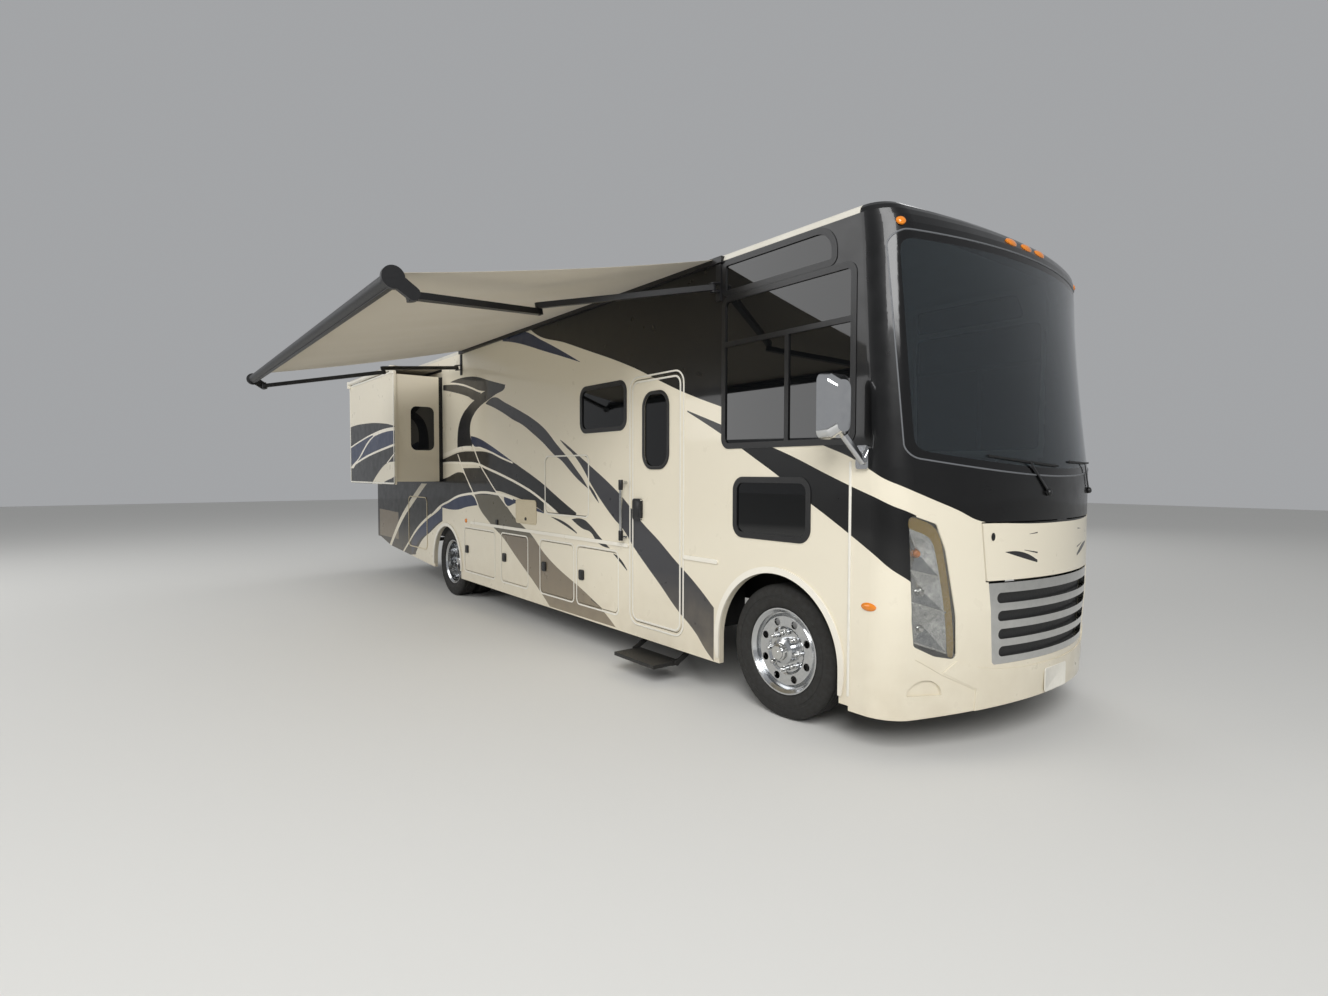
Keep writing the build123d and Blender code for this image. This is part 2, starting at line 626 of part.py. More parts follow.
LEAF_SAG = 120.0
LEAF_END_T, LEAF_MID_T = 28.0, 45.0


def leaf_spring(x, half_span, side):
    """Arched pack of leaves, hung at both ends below the rail."""
    z0 = HANGER_Z - SEAT - 32
    z1 = z0 + LEAF_END_T
    x0, x1 = x - half_span, x + half_span
    y0, y1 = side * (RAIL_Y + 8), side * (RAIL_Y + 83)
    outline = ThreePointArc((x0, z0), (x, z0 - LEAF_SAG), (x1, z0)) + Line((x1, z0), (x1, z1))
    outline += ThreePointArc((x1, z1), (x, z0 - LEAF_SAG + LEAF_MID_T), (x0, z1)) + Line((x0, z1), (x0, z0))
    face = make_face(side_plane(max(y0, y1)) * outline)
    leaf = extrude(face, amount=abs(y1 - y0))
    for end in (-1, 1):
        leaf += disc_y(x + end * half_span, z0 + 8, 24, y0, y1)
    return leaf


CLEVIS_Z0, CLEVIS_Z1 = 350.0, 590.0


def make_front_axle():
    beam = block(FRONT_X - 45, FRONT_X + 45, -KINGPIN_Y + 115, KINGPIN_Y - 115, 400, 490)
    for side in (-1, 1):
        beam += block(FRONT_X - 40, FRONT_X + 40, side * (KINGPIN_Y - 115), side * (KINGPIN_Y - 85),
                      CLEVIS_Z0, CLEVIS_Z1)
        for z0, z1 in ((CLEVIS_Z0, CLEVIS_Z0 + 25), (CLEVIS_Z1 - 25, CLEVIS_Z1)):
            beam += block(FRONT_X - 40, FRONT_X + 40, side * (KINGPIN_Y - 115), side * KINGPIN_Y, z0, z1)
            beam += post(FRONT_X, side * KINGPIN_Y, 40, z0, z1)
        beam += post(FRONT_X, side * KINGPIN_Y, KINGPIN_R, CLEVIS_Z0 + 10, CLEVIS_Z1 - 10)
        beam += leaf_spring(FRONT_X, FRONT_SPRING, side)
    return beam


def make_knuckle(side):
    z0, z1 = CLEVIS_Z0 + 30, CLEVIS_Z1 - 30
    body = post(FRONT_X, side * KINGPIN_Y, 52, z0, z1)
    body += disc_y(FRONT_X, AXLE_Z, SPINDLE_R, side * KINGPIN_Y, side * (FRONT_WHEEL_Y + 70))
    body -= post(FRONT_X, side * KINGPIN_Y, KINGPIN_R + PIN_GAP, z0 - 5, z1 + 5)
    return body


def make_rear_axle():
    axle = disc_y(REAR_X, AXLE_Z, 62, -760, 760)
    axle += Pos(REAR_X, 0, AXLE_Z) * Sphere(190)
    for side in (-1, 1):
        axle += disc_y(REAR_X, AXLE_Z, SPINDLE_R, side * 700, side * (REAR_OUTER_Y - 60))
        axle += leaf_spring(REAR_X, REAR_SPRING, side)
    return axle + tube_x(REAR_X + 150, ENGINE_X0 - 40, 0, AXLE_Z + 90, 45)


TANK_X0, TANK_X1 = REAR_X - 1826.5, REAR_X - 526.5


def make_tank():
    tank = block(TANK_X0, TANK_X1, -355, 355, 470, 815)
    tank = fillet(tank.edges().filter_by(Axis.X), 60)
    reach = RAIL_Y - RAIL_T - SEAT
    for x in (TANK_X0 + 200, TANK_X1 - 200):
        tank += block(x - 30, x + 30, -reach, reach, 700, 730)
    return tank


# Wheels, turned about Y: profiles are (distance outward from the wheel's centre plane, radius)
def turned(profile, y, side):
    """Solid of revolution about the wheel axle from (outward, radius) points."""
    points = [(side * out, r) for out, r in profile]
    plane = Plane(origin=(0, 0, 0), x_dir=(0, 1, 0), z_dir=(1, 0, 0))
    face = plane * Polygon(*points, align=None)
    solid = revolve(face, axis=Axis.Y)
    return Pos(0, y, 0) * solid


def tyre_profile():
    w, lip = TYRE_W / 2, RIM_W / 2 - 12 - SEAT
    half = [
        (lip, BEAD_R + SEAT), (lip, RIM_R + SEAT), (RIM_W / 2 - 2, RIM_R + 3), (RIM_W / 2 + 8, RIM_R + 16),
        (w - 5, 345), (w, 382), (w - 4, 422), (w - 16, 454), (w - 34, TYRE_R - 2), (0, TYRE_R),
    ]
    return half + [(-out, r) for out, r in half[-2::-1]]


def barrel_profile():
    w = RIM_W / 2
    outer = [(-w, RIM_R), (-w + 12, RIM_R), (-w + 12, BEAD_R), (w - 12, BEAD_R), (w - 12, RIM_R), (w, RIM_R)]
    inner = [(w, RIM_R - 10), (w - 20, BEAD_R - BARREL_T), (-w + 20, BEAD_R - BARREL_T), (-w, RIM_R - 10)]
    return outer + inner


FRONT_DISC = [
    (40, BEAD_R - 4), (40, 262), (62, 240), (62, 170), (48, 150), (48, 92), (96, 88), (112, 60), (116, 0), (94, 0),
    (78, SPINDLE_R - 2), (-20, SPINDLE_R - 2), (-20, 110), (30, 118), (34, 150), (46, 172), (46, 238), (20, 262),
    (20, BEAD_R - 4),
]
REAR_DISC = [
    (-60, 274), (-60, 258), (-112, 250), (-118, 240), (-118, 168), (-112, 152), (-112, 96), (-30, 92), (-18, 60),
    (-14, 0), (-34, 0), (-50, SPINDLE_R - 2), (-158, SPINDLE_R - 2), (-158, 250), (-210, 258), (-210, 274),
]


def lugs(face, side):
    ring = None
    for i in range(LUGS):
        a = radians(360.0 / LUGS * i)
        lug = disc_y(LUG_CIRCLE_R * cos(a), LUG_CIRCLE_R * sin(a), 15, side * (face - 8), side * (face + 26))
        ring = lug if ring is None else ring + lug
    return ring


def hand_holes(radius, hole, out0, out1, side):
    ring = None
    for i in range(HAND_HOLES):
        a = radians(360.0 / HAND_HOLES * (i + 0.5))
        cut = disc_y(radius * cos(a), radius * sin(a), hole, side * out0, side * out1)
        ring = cut if ring is None else ring + cut
    return ring


def make_front_rim(side):
    rim = turned(barrel_profile(), 0, side) + turned(FRONT_DISC, 0, side)
    rim -= hand_holes(206, 27, 0, 80, side)
    rim += lugs(48, side)
    rim -= disc_y(0, 0, SPINDLE_R + PIN_GAP, side * -30, side * 76)
    return Pos(FRONT_X, side * FRONT_WHEEL_Y, AXLE_Z) * rim


def make_rear_rim(side):
    rim = turned(barrel_profile(), 0, side)
    rim += turned(barrel_profile(), -side * DUAL_SPACING, side)
    rim += turned(REAR_DISC, 0, side)
    rim -= hand_holes(203, 27, -170, -100, side)
    rim += lugs(-112, side)
    rim -= disc_y(0, 0, SPINDLE_R + PIN_GAP, side * -300, side * -48)
    return Pos(REAR_X, side * REAR_OUTER_Y, AXLE_Z) * rim


def make_tyre(x, y, side):
    return Pos(x, y, AXLE_Z) * turned(tyre_profile(), 0, side)


# Doors
def door_panel(x0, x1, z0, z1, r, side):
    y0, y1 = side * INNER_W, side * HALF_W
    return side_panel(x0 + DOOR_GAP, x1 - DOOR_GAP, z0 + DOOR_GAP, z1 - DOOR_GAP, r - DOOR_GAP, y0, y1)


def swing_door(x0, x1, z0, z1, r, side):
    """Door with a piano hinge in the gap at its front edge."""
    door = door_panel(x0, x1, z0, z1, r, side)
    x, y = x1 - DOOR_GAP / 2, side * (HALF_W - HINGE_IN)
    door += block(x - DOOR_GAP, x, y, y - side * 2, z0 + r, z1 - r)
    return door + post(x, y, HINGE_R, z0 + r, z1 - r)


def make_tv_door():
    """Door of the outside television, hinged along its top."""
    x0, x1, z0, z1, r = TV_DOOR
    door = door_panel(*TV_DOOR, -1)
    y, z = -(HALF_W - HINGE_IN), z1 - DOOR_GAP / 2
    door += block(x0 + r, x1 - r, y, y + 2, z - DOOR_GAP, z)
    return door + tube_x(x0 + r, x1 - r, y, z, HINGE_R)


def make_baggage_door(row):
    name, x0, x1, z0, z1, r, side = row
    door = swing_door(x0, x1, z0, z1, r, side)
    y = side * HALF_W
    latch = side_panel(x0 + 45, x0 + 125, z0 + 250, z0 + 320, 12, y - side * 4, y + side * 12)
    return door + latch


def make_entry_door():
    x0, x1, z0, z1, r = ENTRY
    door = swing_door(*ENTRY, -1)
    door -= side_panel(*ENTRY_GLASS, -INNER_W + 30, -HALF_W - 30)
    return door + side_panel(x0 + 45, x0 + 165, 1310, 1490, 20, -HALF_W + 4, -HALF_W - 22)


def make_entry_glass():
    x0, x1, z0, z1, r = ENTRY_GLASS
    return side_panel(x0 + SEAT, x1 - SEAT, z0 + SEAT, z1 - SEAT, r - SEAT, -HALF_W + 4, -HALF_W + 4 + GLASS_T)


# Slide-out rooms
def make_room(x0, x1, z0, z1, side, outer_y, stop_y):
    """Box room with a fascia lip outside and a stop lip inside, open to the cabin."""
    lip = FASCIA_LIP
    body = side_panel(x0 + lip, x1 - lip, z0 + lip, z1 - lip, 0, side * (stop_y - 60), side * (outer_y - 5))
    lip += ROOM_T
    hollow = side_panel(x0 + lip, x1 - lip, z0 + lip, z1 - lip, 0, side * (stop_y - 90), side * (outer_y - ROOM_T))
    fascia = side_panel(x0, x1, z0, z1, 25, side * (outer_y - FASCIA_T), side * outer_y)
    stop = side_panel(x0 + 5, x1 - 5, z0 + 5, z1 - 5, 0, side * (stop_y - 25), side * stop_y)
    return body + fascia + stop - hollow


CURB_OUT_Y = HALF_W + CURB_ROOM_OUT
SLIDE_WINDOW = (1400.0, 1720.0, 2020.0, 2620.0, 80.0)
TOPPER_R = 30.0
TOPPER_Y = CURB_ROOM_OUT + HALF_W + 12.0
TOPPER_Z = CURB_ROOM_Z1 + 36.0


def make_curb_room():
    room = make_room(CURB_ROOM_X0, CURB_ROOM_X1, CURB_ROOM_Z0, CURB_ROOM_Z1, -1, CURB_OUT_Y, INNER_W - SEAT)
    y0, y1, z0, z1, r = SLIDE_WINDOW
    face_x = CURB_ROOM_X1 - FASCIA_LIP
    room -= front_panel(-y1, -y0, z0, z1, r, face_x - ROOM_T - 20, face_x + 20)
    room += tube_x(CURB_ROOM_X0 + 40, CURB_ROOM_X1 - 40, -TOPPER_Y, TOPPER_Z, TOPPER_R)
    for x in (CURB_ROOM_X0 + 20, CURB_ROOM_X1 - 50):
        room += block(x, x + 30, -TOPPER_Y - 34, -TOPPER_Y + 32, CURB_ROOM_Z1 - 40, TOPPER_Z + 28)
    return room


def make_curb_room_glass():
    y0, y1, z0, z1, r = SLIDE_WINDOW
    face_x = CURB_ROOM_X1 - FASCIA_LIP
    return front_panel(-y1 + SEAT, -y0 - SEAT, z0 + SEAT, z1 - SEAT, r - SEAT, face_x - 4 - GLASS_T, face_x - 4)


STREET_OUT_Y = HALF_W + FASCIA_T + SEAT
STREET_ROOM_GLASS = (-900.0, 900.0, 2050.0, 2700.0, 90.0)


def make_street_room():
    out = STREET_OUT_Y
    stop_y = INNER_W - 5 - STREET_ROOM_TRAVEL
    room = make_room(STREET_ROOM_X0, STREET_ROOM_X1, STREET_ROOM_Z0, STREET_ROOM_Z1, 1, out, stop_y)
    return room - side_panel(*STREET_ROOM_GLASS, out - ROOM_T - 20, out + 20)


def make_street_room_glass():
    out = STREET_OUT_Y
    x0, x1, z0, z1, r = STREET_ROOM_GLASS
    return side_panel(x0 + SEAT, x1 - SEAT, z0 + SEAT, z1 - SEAT, r - SEAT, out - 4 - GLASS_T, out - 4)


def make_topper_fabric():
    y0, y1 = -TOPPER_Y, -(HALF_W + 8)
    z = TOPPER_Z + TOPPER_R + SEAT
    return block(CURB_ROOM_X0 + 80, CURB_ROOM_X1 - 80, y0, y1, z, z + 3)


# Awning with two folding arms, on a plane that slopes down away from the wall
SLOPE = radians(AWNING_SLOPE)
AWNING_PLANE = Plane(origin=(0, -SHOULDER_Y, SHOULDER_Z), x_dir=(1, 0, 0), z_dir=(0, -sin(SLOPE), cos(SLOPE)))
LEVEL_GAP = 5.0
LOWER_LEVEL = -(ARM_T + LEVEL_GAP)
ELBOW_IN = ARM_L * cos(radians(ARM_ANGLE))
ELBOW_OUT = ARM_L * sin(radians(ARM_ANGLE))
REACH = 2 * ELBOW_OUT
ARM_PIN_R = 11.0


def on_awning(sketch, low, high):
    """Extrude a sketch drawn on the awning's plane between two heights above it."""
    return extrude(AWNING_PLANE.offset(low) * sketch, amount=high - low)


def link(xa, ya, xb, yb, low, high):
    """Arm with round ends between two pivots."""
    length = hypot(xb - xa, yb - ya)
    turn = degrees(atan2(yb - ya, xb - xa))
    shape = Pos((xa + xb) / 2, (ya + yb) / 2) * Rot(0, 0, turn) * SlotCenterToCenter(length, ARM_W)
    return on_awning(shape, low, high)


def spot(x, y, r, low, high):
    return on_awning(Pos(x, y) * Circle(r), low, high)


def make_upper_arm(end):
    x, elbow_x = end * AWNING_X, end * (AWNING_X - ELBOW_IN)
    half = ARM_T / 2
    arm = link(x, 0, elbow_x, -ELBOW_OUT, -half, half)
    arm -= spot(x, 0, ARM_PIN_R + PIN_GAP, -half - 5, half + 5)
    return arm + spot(elbow_x, -ELBOW_OUT, ARM_PIN_R, LOWER_LEVEL - half - 4, 0)


def make_forearm(end):
    x, elbow_x = end * AWNING_X, end * (AWNING_X - ELBOW_IN)
    low, high = LOWER_LEVEL - ARM_T / 2, LOWER_LEVEL + ARM_T / 2
    arm = link(elbow_x, -ELBOW_OUT, x, -REACH, low, high)
    arm -= spot(elbow_x, -ELBOW_OUT, ARM_PIN_R + PIN_GAP, low - 5, high + 5)
    eye_gap = PIN_GAP if end > 0 else 1.0
    return arm - spot(x, -REACH, ARM_PIN_R + eye_gap, low - 5, high + 5)


# Roller's centre beyond and above the forearms' pivots, and the cloth's line down from its rail
ROLLER_OUT, ROLLER_UP = 92.0, 41.0
ROLLER_WALL = 2.0
BAR_W, BAR_T = 36.0, 5.0
ROLLER_AT = AWNING_PLANE.from_local_coords(Vector(0, -(REACH + ROLLER_OUT), ROLLER_UP))
PIVOT_AT = AWNING_PLANE.from_local_coords(Vector(0, -REACH, LOWER_LEVEL))
END_CAP_T = 30.0
END_CAP_X = AWNING_X + ARM_W / 2 + LEVEL_GAP
RAIL_TOP_Z = WALL_TOP + 34
CLOTH_Y, CLOTH_Z = HALF_W + 26, RAIL_TOP_Z - 12
CLOTH_RUN = hypot(ROLLER_AT.Y + CLOTH_Y, ROLLER_AT.Z - CLOTH_Z)
CLOTH_ANGLE = atan2(CLOTH_Z - ROLLER_AT.Z, -CLOTH_Y - ROLLER_AT.Y) - asin((ROLLER_R + SEAT) / CLOTH_RUN)
CLOTH_PLANE = Plane(origin=(0, -CLOTH_Y, CLOTH_Z), x_dir=(1, 0, 0), z_dir=(0, -sin(CLOTH_ANGLE), cos(CLOTH_ANGLE)))


def make_roller():
    half = END_CAP_X + END_CAP_T / 2
    tube = tube_x(-half, half, ROLLER_AT.Y, ROLLER_AT.Z, ROLLER_R)
    tube -= tube_x(-half + 10, half - 10, ROLLER_AT.Y, ROLLER_AT.Z, ROLLER_R - ROLLER_WALL)
    low = ROLLER_UP - ROLLER_R
    bar = on_awning(Pos(0, -(REACH + ROLLER_OUT)) * Rectangle(2 * half, BAR_W), low + 1 - BAR_T, low + 1)
    shape = tube + bar
    drop = PIVOT_AT - ROLLER_AT
    for end in (-1, 1):
        x = end * AWNING_X
        face = Circle(62) + make_hull((Circle(40) + Pos(drop.Y, drop.Z) * Circle(38)).edges())
        cap = extrude(front_plane(0) * face, amount=END_CAP_T)
        shape += Pos(min(end * END_CAP_X, end * (END_CAP_X + END_CAP_T)), ROLLER_AT.Y, ROLLER_AT.Z) * cap
        for a, b in ((-ARM_T / 2 - 15, -ARM_T / 2 - LEVEL_GAP), (ARM_T / 2 + LEVEL_GAP, ARM_T / 2 + 15)):
            ear = Pos(x, -REACH) * Circle(24) + Pos(x + end * 20, -REACH) * Rectangle(40, 48)
            shape += on_awning(ear, LOWER_LEVEL + a, LOWER_LEVEL + b)
        shape += spot(x, -REACH, ARM_PIN_R, LOWER_LEVEL - ARM_T / 2 - 10, LOWER_LEVEL + ARM_T / 2 + 10)
    return shape


def make_awning_rail():
    """Rail that holds the cloth along the roof's edge, two shoulder brackets and the topper's rail."""
    end_x = AWNING_X + 45
    rail = block(-end_x, end_x, -HALF_W - 26, -HALF_W + 30, WALL_TOP - 12, RAIL_TOP_Z)
    rail -= tube_x(-end_x - 10, end_x + 10, -(HALF_W - ROOF_R), WALL_TOP, ROOF_R + SEAT)
    rail -= block(-end_x - 10, end_x + 10, -HALF_W - SEAT, 0, WALL_TOP - 100, WALL_TOP)
    pieces = [rail]
    half = ARM_T / 2
    for end in (-1, 1):
        x = end * AWNING_X
        bracket = block(x - 26, x + 26, -HALF_W - 14, -HALF_W - SEAT, SHOULDER_Z - 90, WALL_TOP - 20)
        for a, b in ((half + LEVEL_GAP, half + LEVEL_GAP + 10), (-half - LEVEL_GAP - 10, -half - LEVEL_GAP)):
            ear = Pos(x, 0) * Circle(26) + Pos(x, 30) * Rectangle(52, 60)
            bracket += on_awning(ear, a, b) - block(x - 100, x + 100, -HALF_W - 2, 0, SHOULDER_Z - 200, WALL_TOP)
        pieces.append(bracket + spot(x, 0, ARM_PIN_R, -half - LEVEL_GAP - 5, half + LEVEL_GAP + 5))
    pieces.append(block(CURB_ROOM_X0 + 40, CURB_ROOM_X1 - 40, -HALF_W - 7, -HALF_W - SEAT, TOPPER_Z + 6, TOPPER_Z + 46))
    return group(pieces)


def make_awning_fabric():
    run = sqrt(CLOTH_RUN ** 2 - (ROLLER_R + SEAT) ** 2)
    sheet = Pos(0, -(run + SEAT) / 2) * Rectangle(2 * (AWNING_X - 50), run - SEAT)
    return extrude(CLOTH_PLANE * sheet, amount=FABRIC_T)


# Entry step, a level tread on parallel swinging arms
STEP_PIVOT_Y, STEP_PIVOT_Z = 1120.0, 265.0
STEP_ARM = 190.0
STEP_ANGLE = 30.0
STEP_X0, STEP_X1 = 1420.0, 2020.0
TREAD_T = 30.0


def step_arm_end():
    a = radians(STEP_ANGLE)
    return STEP_PIVOT_Y + STEP_ARM * cos(a), STEP_PIVOT_Z - STEP_ARM * sin(a)


def make_step_arms():
    y1, z1 = step_arm_end()
    arms = []
    mid_y, mid_z = (STEP_PIVOT_Y + y1) / 2, (STEP_PIVOT_Z + z1) / 2
    for x in (STEP_X0, STEP_X1 - 16):
        bar = Pos(x + 8, -mid_y, mid_z) * Rot(STEP_ANGLE, 0, 0) * Box(16, STEP_ARM, 40)
        bar += tube_x(x, x + 16, -STEP_PIVOT_Y, STEP_PIVOT_Z, 24)
        bar += tube_x(x, x + 16, -y1, z1, 24)
        bar -= tube_x(x - 5, x + 21, -STEP_PIVOT_Y, STEP_PIVOT_Z, 10 + PIN_GAP)
        arms.append(bar)
    bar = tube_x(STEP_X0 + 10, STEP_X1 - 10, -y1, z1, 10)
    return arms[0] + arms[1] + bar


def make_step_tread():
    y1, z1 = step_arm_end()
    x0, x1 = STEP_X0 + 22, STEP_X1 - 22
    tread = block(x0, x1, -(y1 + 230), -(y1 - 40), z1 - 20, z1 - 20 + TREAD_T)
    for x in (x0, x1 - 14):
        tread += block(x, x + 14, -(y1 + 40), -(y1 - 26), z1 - 24, z1 + 24)
    return tread - tube_x(x0 - 5, x1 + 5, -y1, z1, 10 + PIN_GAP)


def make_step_base():
    """Cradle that holds the step's pivots under the stepwell."""
    z_top = ENTRY[2] + 12
    base = block(STEP_X0 - 30, STEP_X1 + 30, -1200, -900, z_top - 14, z_top)
    for x in (STEP_X0 - 22, STEP_X1 + 6):
        base += block(x, x + 16, -STEP_PIVOT_Y - 26, -STEP_PIVOT_Y + 40, STEP_PIVOT_Z - 28, z_top - 5)
    for x in (STEP_X0 - 20, STEP_X1 - 18):
        base += tube_x(x, x + 38, -STEP_PIVOT_Y, STEP_PIVOT_Z, 10)
    return base


# Cab
WHEEL_TILT = 30.0
WHEEL_PLACE = Location((CAP_SEAM_X - 280, 620.0, 1720.0), (0, -WHEEL_TILT, 0))
COLUMN_R = 22.0
COLUMN_L = 400.0
DASH_Y = 1100.0
COVER_TOP = 1340.0
SEAT_X = CAP_SEAM_X - 780


def make_dashboard():
    x0, x1 = CAP_SEAM_X - 140, CAP_SEAM_X + 180
    points = [(x0, FLOOR_Z + SEAT), (x0, 1380), (x0 + 80, 1520), (x1, 1560), (x1, FLOOR_Z + SEAT)]
    dash = side_sheet(points, -DASH_Y, DASH_Y)
    cover = block(COVER_X0, x0 + 140, -COVER_Y - 30, COVER_Y + 30, FLOOR_Z + SEAT, COVER_TOP)
    dash += fillet(cover.edges().filter_by(Axis.X).sort_by(Axis.Z)[-2:], 60)
    dash -= block(COVER_X0 + 30, x1 + 15, -COVER_Y, COVER_Y, FLOOR_Z - 20, COVER_TOP - 50)
    column = Pos(0, 0, -(COLUMN_L + 5) / 2) * Cylinder(COLUMN_R + 1, COLUMN_L + 5)
    return dash - WHEEL_PLACE * column


def make_steering_wheel():
    ring = Torus(215, 15)
    hub = Cylinder(60, 40)
    shape = ring + hub
    for angle in (0, 120, 240):
        shape += Rot(0, 0, angle) * Pos(110, 0, 0) * Box(200, 30, 14)
    shaft = Pos(0, 0, -COLUMN_L / 2) * Cylinder(COLUMN_R, COLUMN_L)
    return WHEEL_PLACE * (shape + shaft)


def make_seats():
    seats = []
    for y in (-620.0, 620.0):
        base = block(SEAT_X - 200, SEAT_X + 160, y - 180, y + 180, FLOOR_Z + SEAT, 1400)
        cushion = fillet(block(SEAT_X - 260, SEAT_X + 260, y - 270, y + 270, 1400, 1540).edges(), 40)
        back = Pos(SEAT_X - 280, y, 1900) * Rot(0, -8, 0) * fillet(Box(130, 520, 780).edges(), 45)
        seats.append(base + cushion + back)
    return group(seats)


# Outside fittings
MIRROR_X, MIRROR_OUT, MIRROR_Z = CAP_SEAM_X + 60, 230.0, 2108.0


def make_mirrors():
    """Foot plate on the cap, a slanted arm, and a head that narrows towards its front."""
    mirrors = []
    for side in (-1, 1):
        y = side * HALF_W
        foot = side_panel(MIRROR_X - 8, MIRROR_X + 82, 1742, 1884, 18, y + side * SEAT, y + side * 24)
        sections = []
        for x, w, h in ((-62, 92, 180), (-50, 112, 192), (20, 100, 186), (62, 62, 150)):
            face = RectangleRounded(2 * w, 2 * h, 50)
            sections.append(front_plane(MIRROR_X + x) * (Pos(y + side * MIRROR_OUT, MIRROR_Z) * face))
        head = loft(sections, ruled=True)
        rise = Plane(origin=(MIRROR_X + 45, y + side * 20, 1785), z_dir=(-0.1, side * 0.62, 0.62))
        arm = extrude(rise * RectangleRounded(46, 36, 12), amount=280)
        mirrors.append(foot + arm + head)
    return group(mirrors)


def make_ladder():
    x = REAR_END_X - 110
    parts = None
    for y in (520.0, 900.0):
        rail = post(x, y, 13, 1000, TOP_Z + 60)
        parts = rail if parts is None else parts + rail
        for z in (1100.0, 2000.0, 3050.0):
            parts += tube_x(x, REAR_END_X - SEAT, y, z, 10)
        parts += tube_x(x, x + 300, y, TOP_Z + 60, 13)
        parts += post(x + 300, y, 13, TOP_Z + SEAT, TOP_Z + 60)
    for i in range(7):
        z = 1100 + i * 300
        parts += disc_y(x, z, 12, 520, 900)
    return parts


def make_tail_lamps():
    lamps = []
    for side in (-1, 1):
        y0, y1 = side * (HALF_W - 90), side * (HALF_W - 230)
        lamps.append(front_panel(min(y0, y1), max(y0, y1), 920, 1420, 40, REAR_END_X - 24, REAR_END_X - SEAT))
    lamps.append(front_panel(-220, 220, 3150, 3190, 15, REAR_END_X - 18, REAR_END_X - SEAT))
    return group(lamps)


def make_roof_units():
    units = []
    for x in (-3600.0, 900.0):
        body = Pos(x, 0, TOP_Z + SEAT + 165) * Box(1050, 720, 330)
        body = fillet(body.edges().filter_by(Axis.Z), 120)
        body = fillet(body.edges().sort_by(Axis.Z)[-8:], 60)
        units.append(body)
    for x, y in ((-5300.0, 300.0), (-1500.0, -350.0), (-600.0, 450.0)):
        vent = Pos(x, y, TOP_Z + SEAT + 60) * Box(420, 420, 120)
        units.append(fillet(vent.edges().sort_by(Axis.Z)[4:], 30))
    return group(units)


def make_grab_handle():
    x, y = ENTRY[0] - 80, -HALF_W
    bar = post(x, y - 62, 14, 1130, 1640)
    for z in (1140.0, 1630.0):
        bar += disc_y(x, z, 16, y - SEAT, y - 70)
    return bar


nodes = {
    "front_cap": make_front_cap,
    "windshield_glass": make_windshield,
    "headlamps": make_headlamps,
    "front_grille": make_grille,
    "hood_door": make_hatch,
    "side_wall_curb": make_curb_wall,
    "side_wall_street": make_street_wall,
    "window_frames": make_frames,
    "window_glass": make_panes,
    "roof_panel": make_roof,
    "rear_cap": make_rear_cap,
    "floor_deck": make_floor,
    "baggage_bays": make_bays,
    "chassis_frame": make_chassis,
    "engine_block": make_engine,
    "front_axle": make_front_axle,
    "rear_axle": make_rear_axle,
    "fuel_tank": make_tank,
    "entry_door": make_entry_door,
    "entry_door_glass": make_entry_glass,
    "slide_room_curb": make_curb_room,
    "slide_room_curb_glass": make_curb_room_glass,
    "slide_room_street": make_street_room,
    "slide_room_street_glass": make_street_room_glass,
    "topper_fabric": make_topper_fabric,
    "awning_rail": make_awning_rail,
    "awning_roller": make_roller,
    "awning_fabric": make_awning_fabric,
    "step_arms": make_step_arms,
    "step_tread": make_step_tread,
    "dashboard": make_dashboard,
    "steering_wheel": make_steering_wheel,
    "cab_seats": make_seats,
    "mirrors": make_mirrors,
    "rear_ladder": make_ladder,
    "tail_lamps": make_tail_lamps,
    "roof_units": make_roof_units,
    "grab_handle": make_grab_handle,
}
for name, make in nodes.items():
    save(name, make())
for row in BAGGAGE:
    save(row[0], make_baggage_door(row))
save("tv_door", make_tv_door())
for end, word in ((1, "front"), (-1, "rear")):
    save("awning_arm_" + word, make_upper_arm(end))
    save("awning_forearm_" + word, make_forearm(end))
for side, word in ((-1, "right"), (1, "left")):
    save("knuckle_" + word, make_knuckle(side))
    save("front_rim_" + word, make_front_rim(side))
    save("front_tyre_" + word, make_tyre(FRONT_X, side * FRONT_WHEEL_Y, side))
    save("rear_rims_" + word, make_rear_rim(side))
    outer = make_tyre(REAR_X, side * REAR_OUTER_Y, side)
    inner = make_tyre(REAR_X, side * (REAR_OUTER_Y - DUAL_SPACING), side)
    save("rear_tyres_" + word, group([outer, inner]))
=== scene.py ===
# %% [markdown]
# # A motorhome dressed for the camera
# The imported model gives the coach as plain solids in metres: +X is forward, +Y is the street side and
# +Z is up. This file gives each solid its finish, adds the thin trim and the soft pieces that solids
# don't show well, and sets the camera where the photograph was taken.

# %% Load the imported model
import json
import math

import bmesh
import bpy
from mathutils import Matrix, Vector


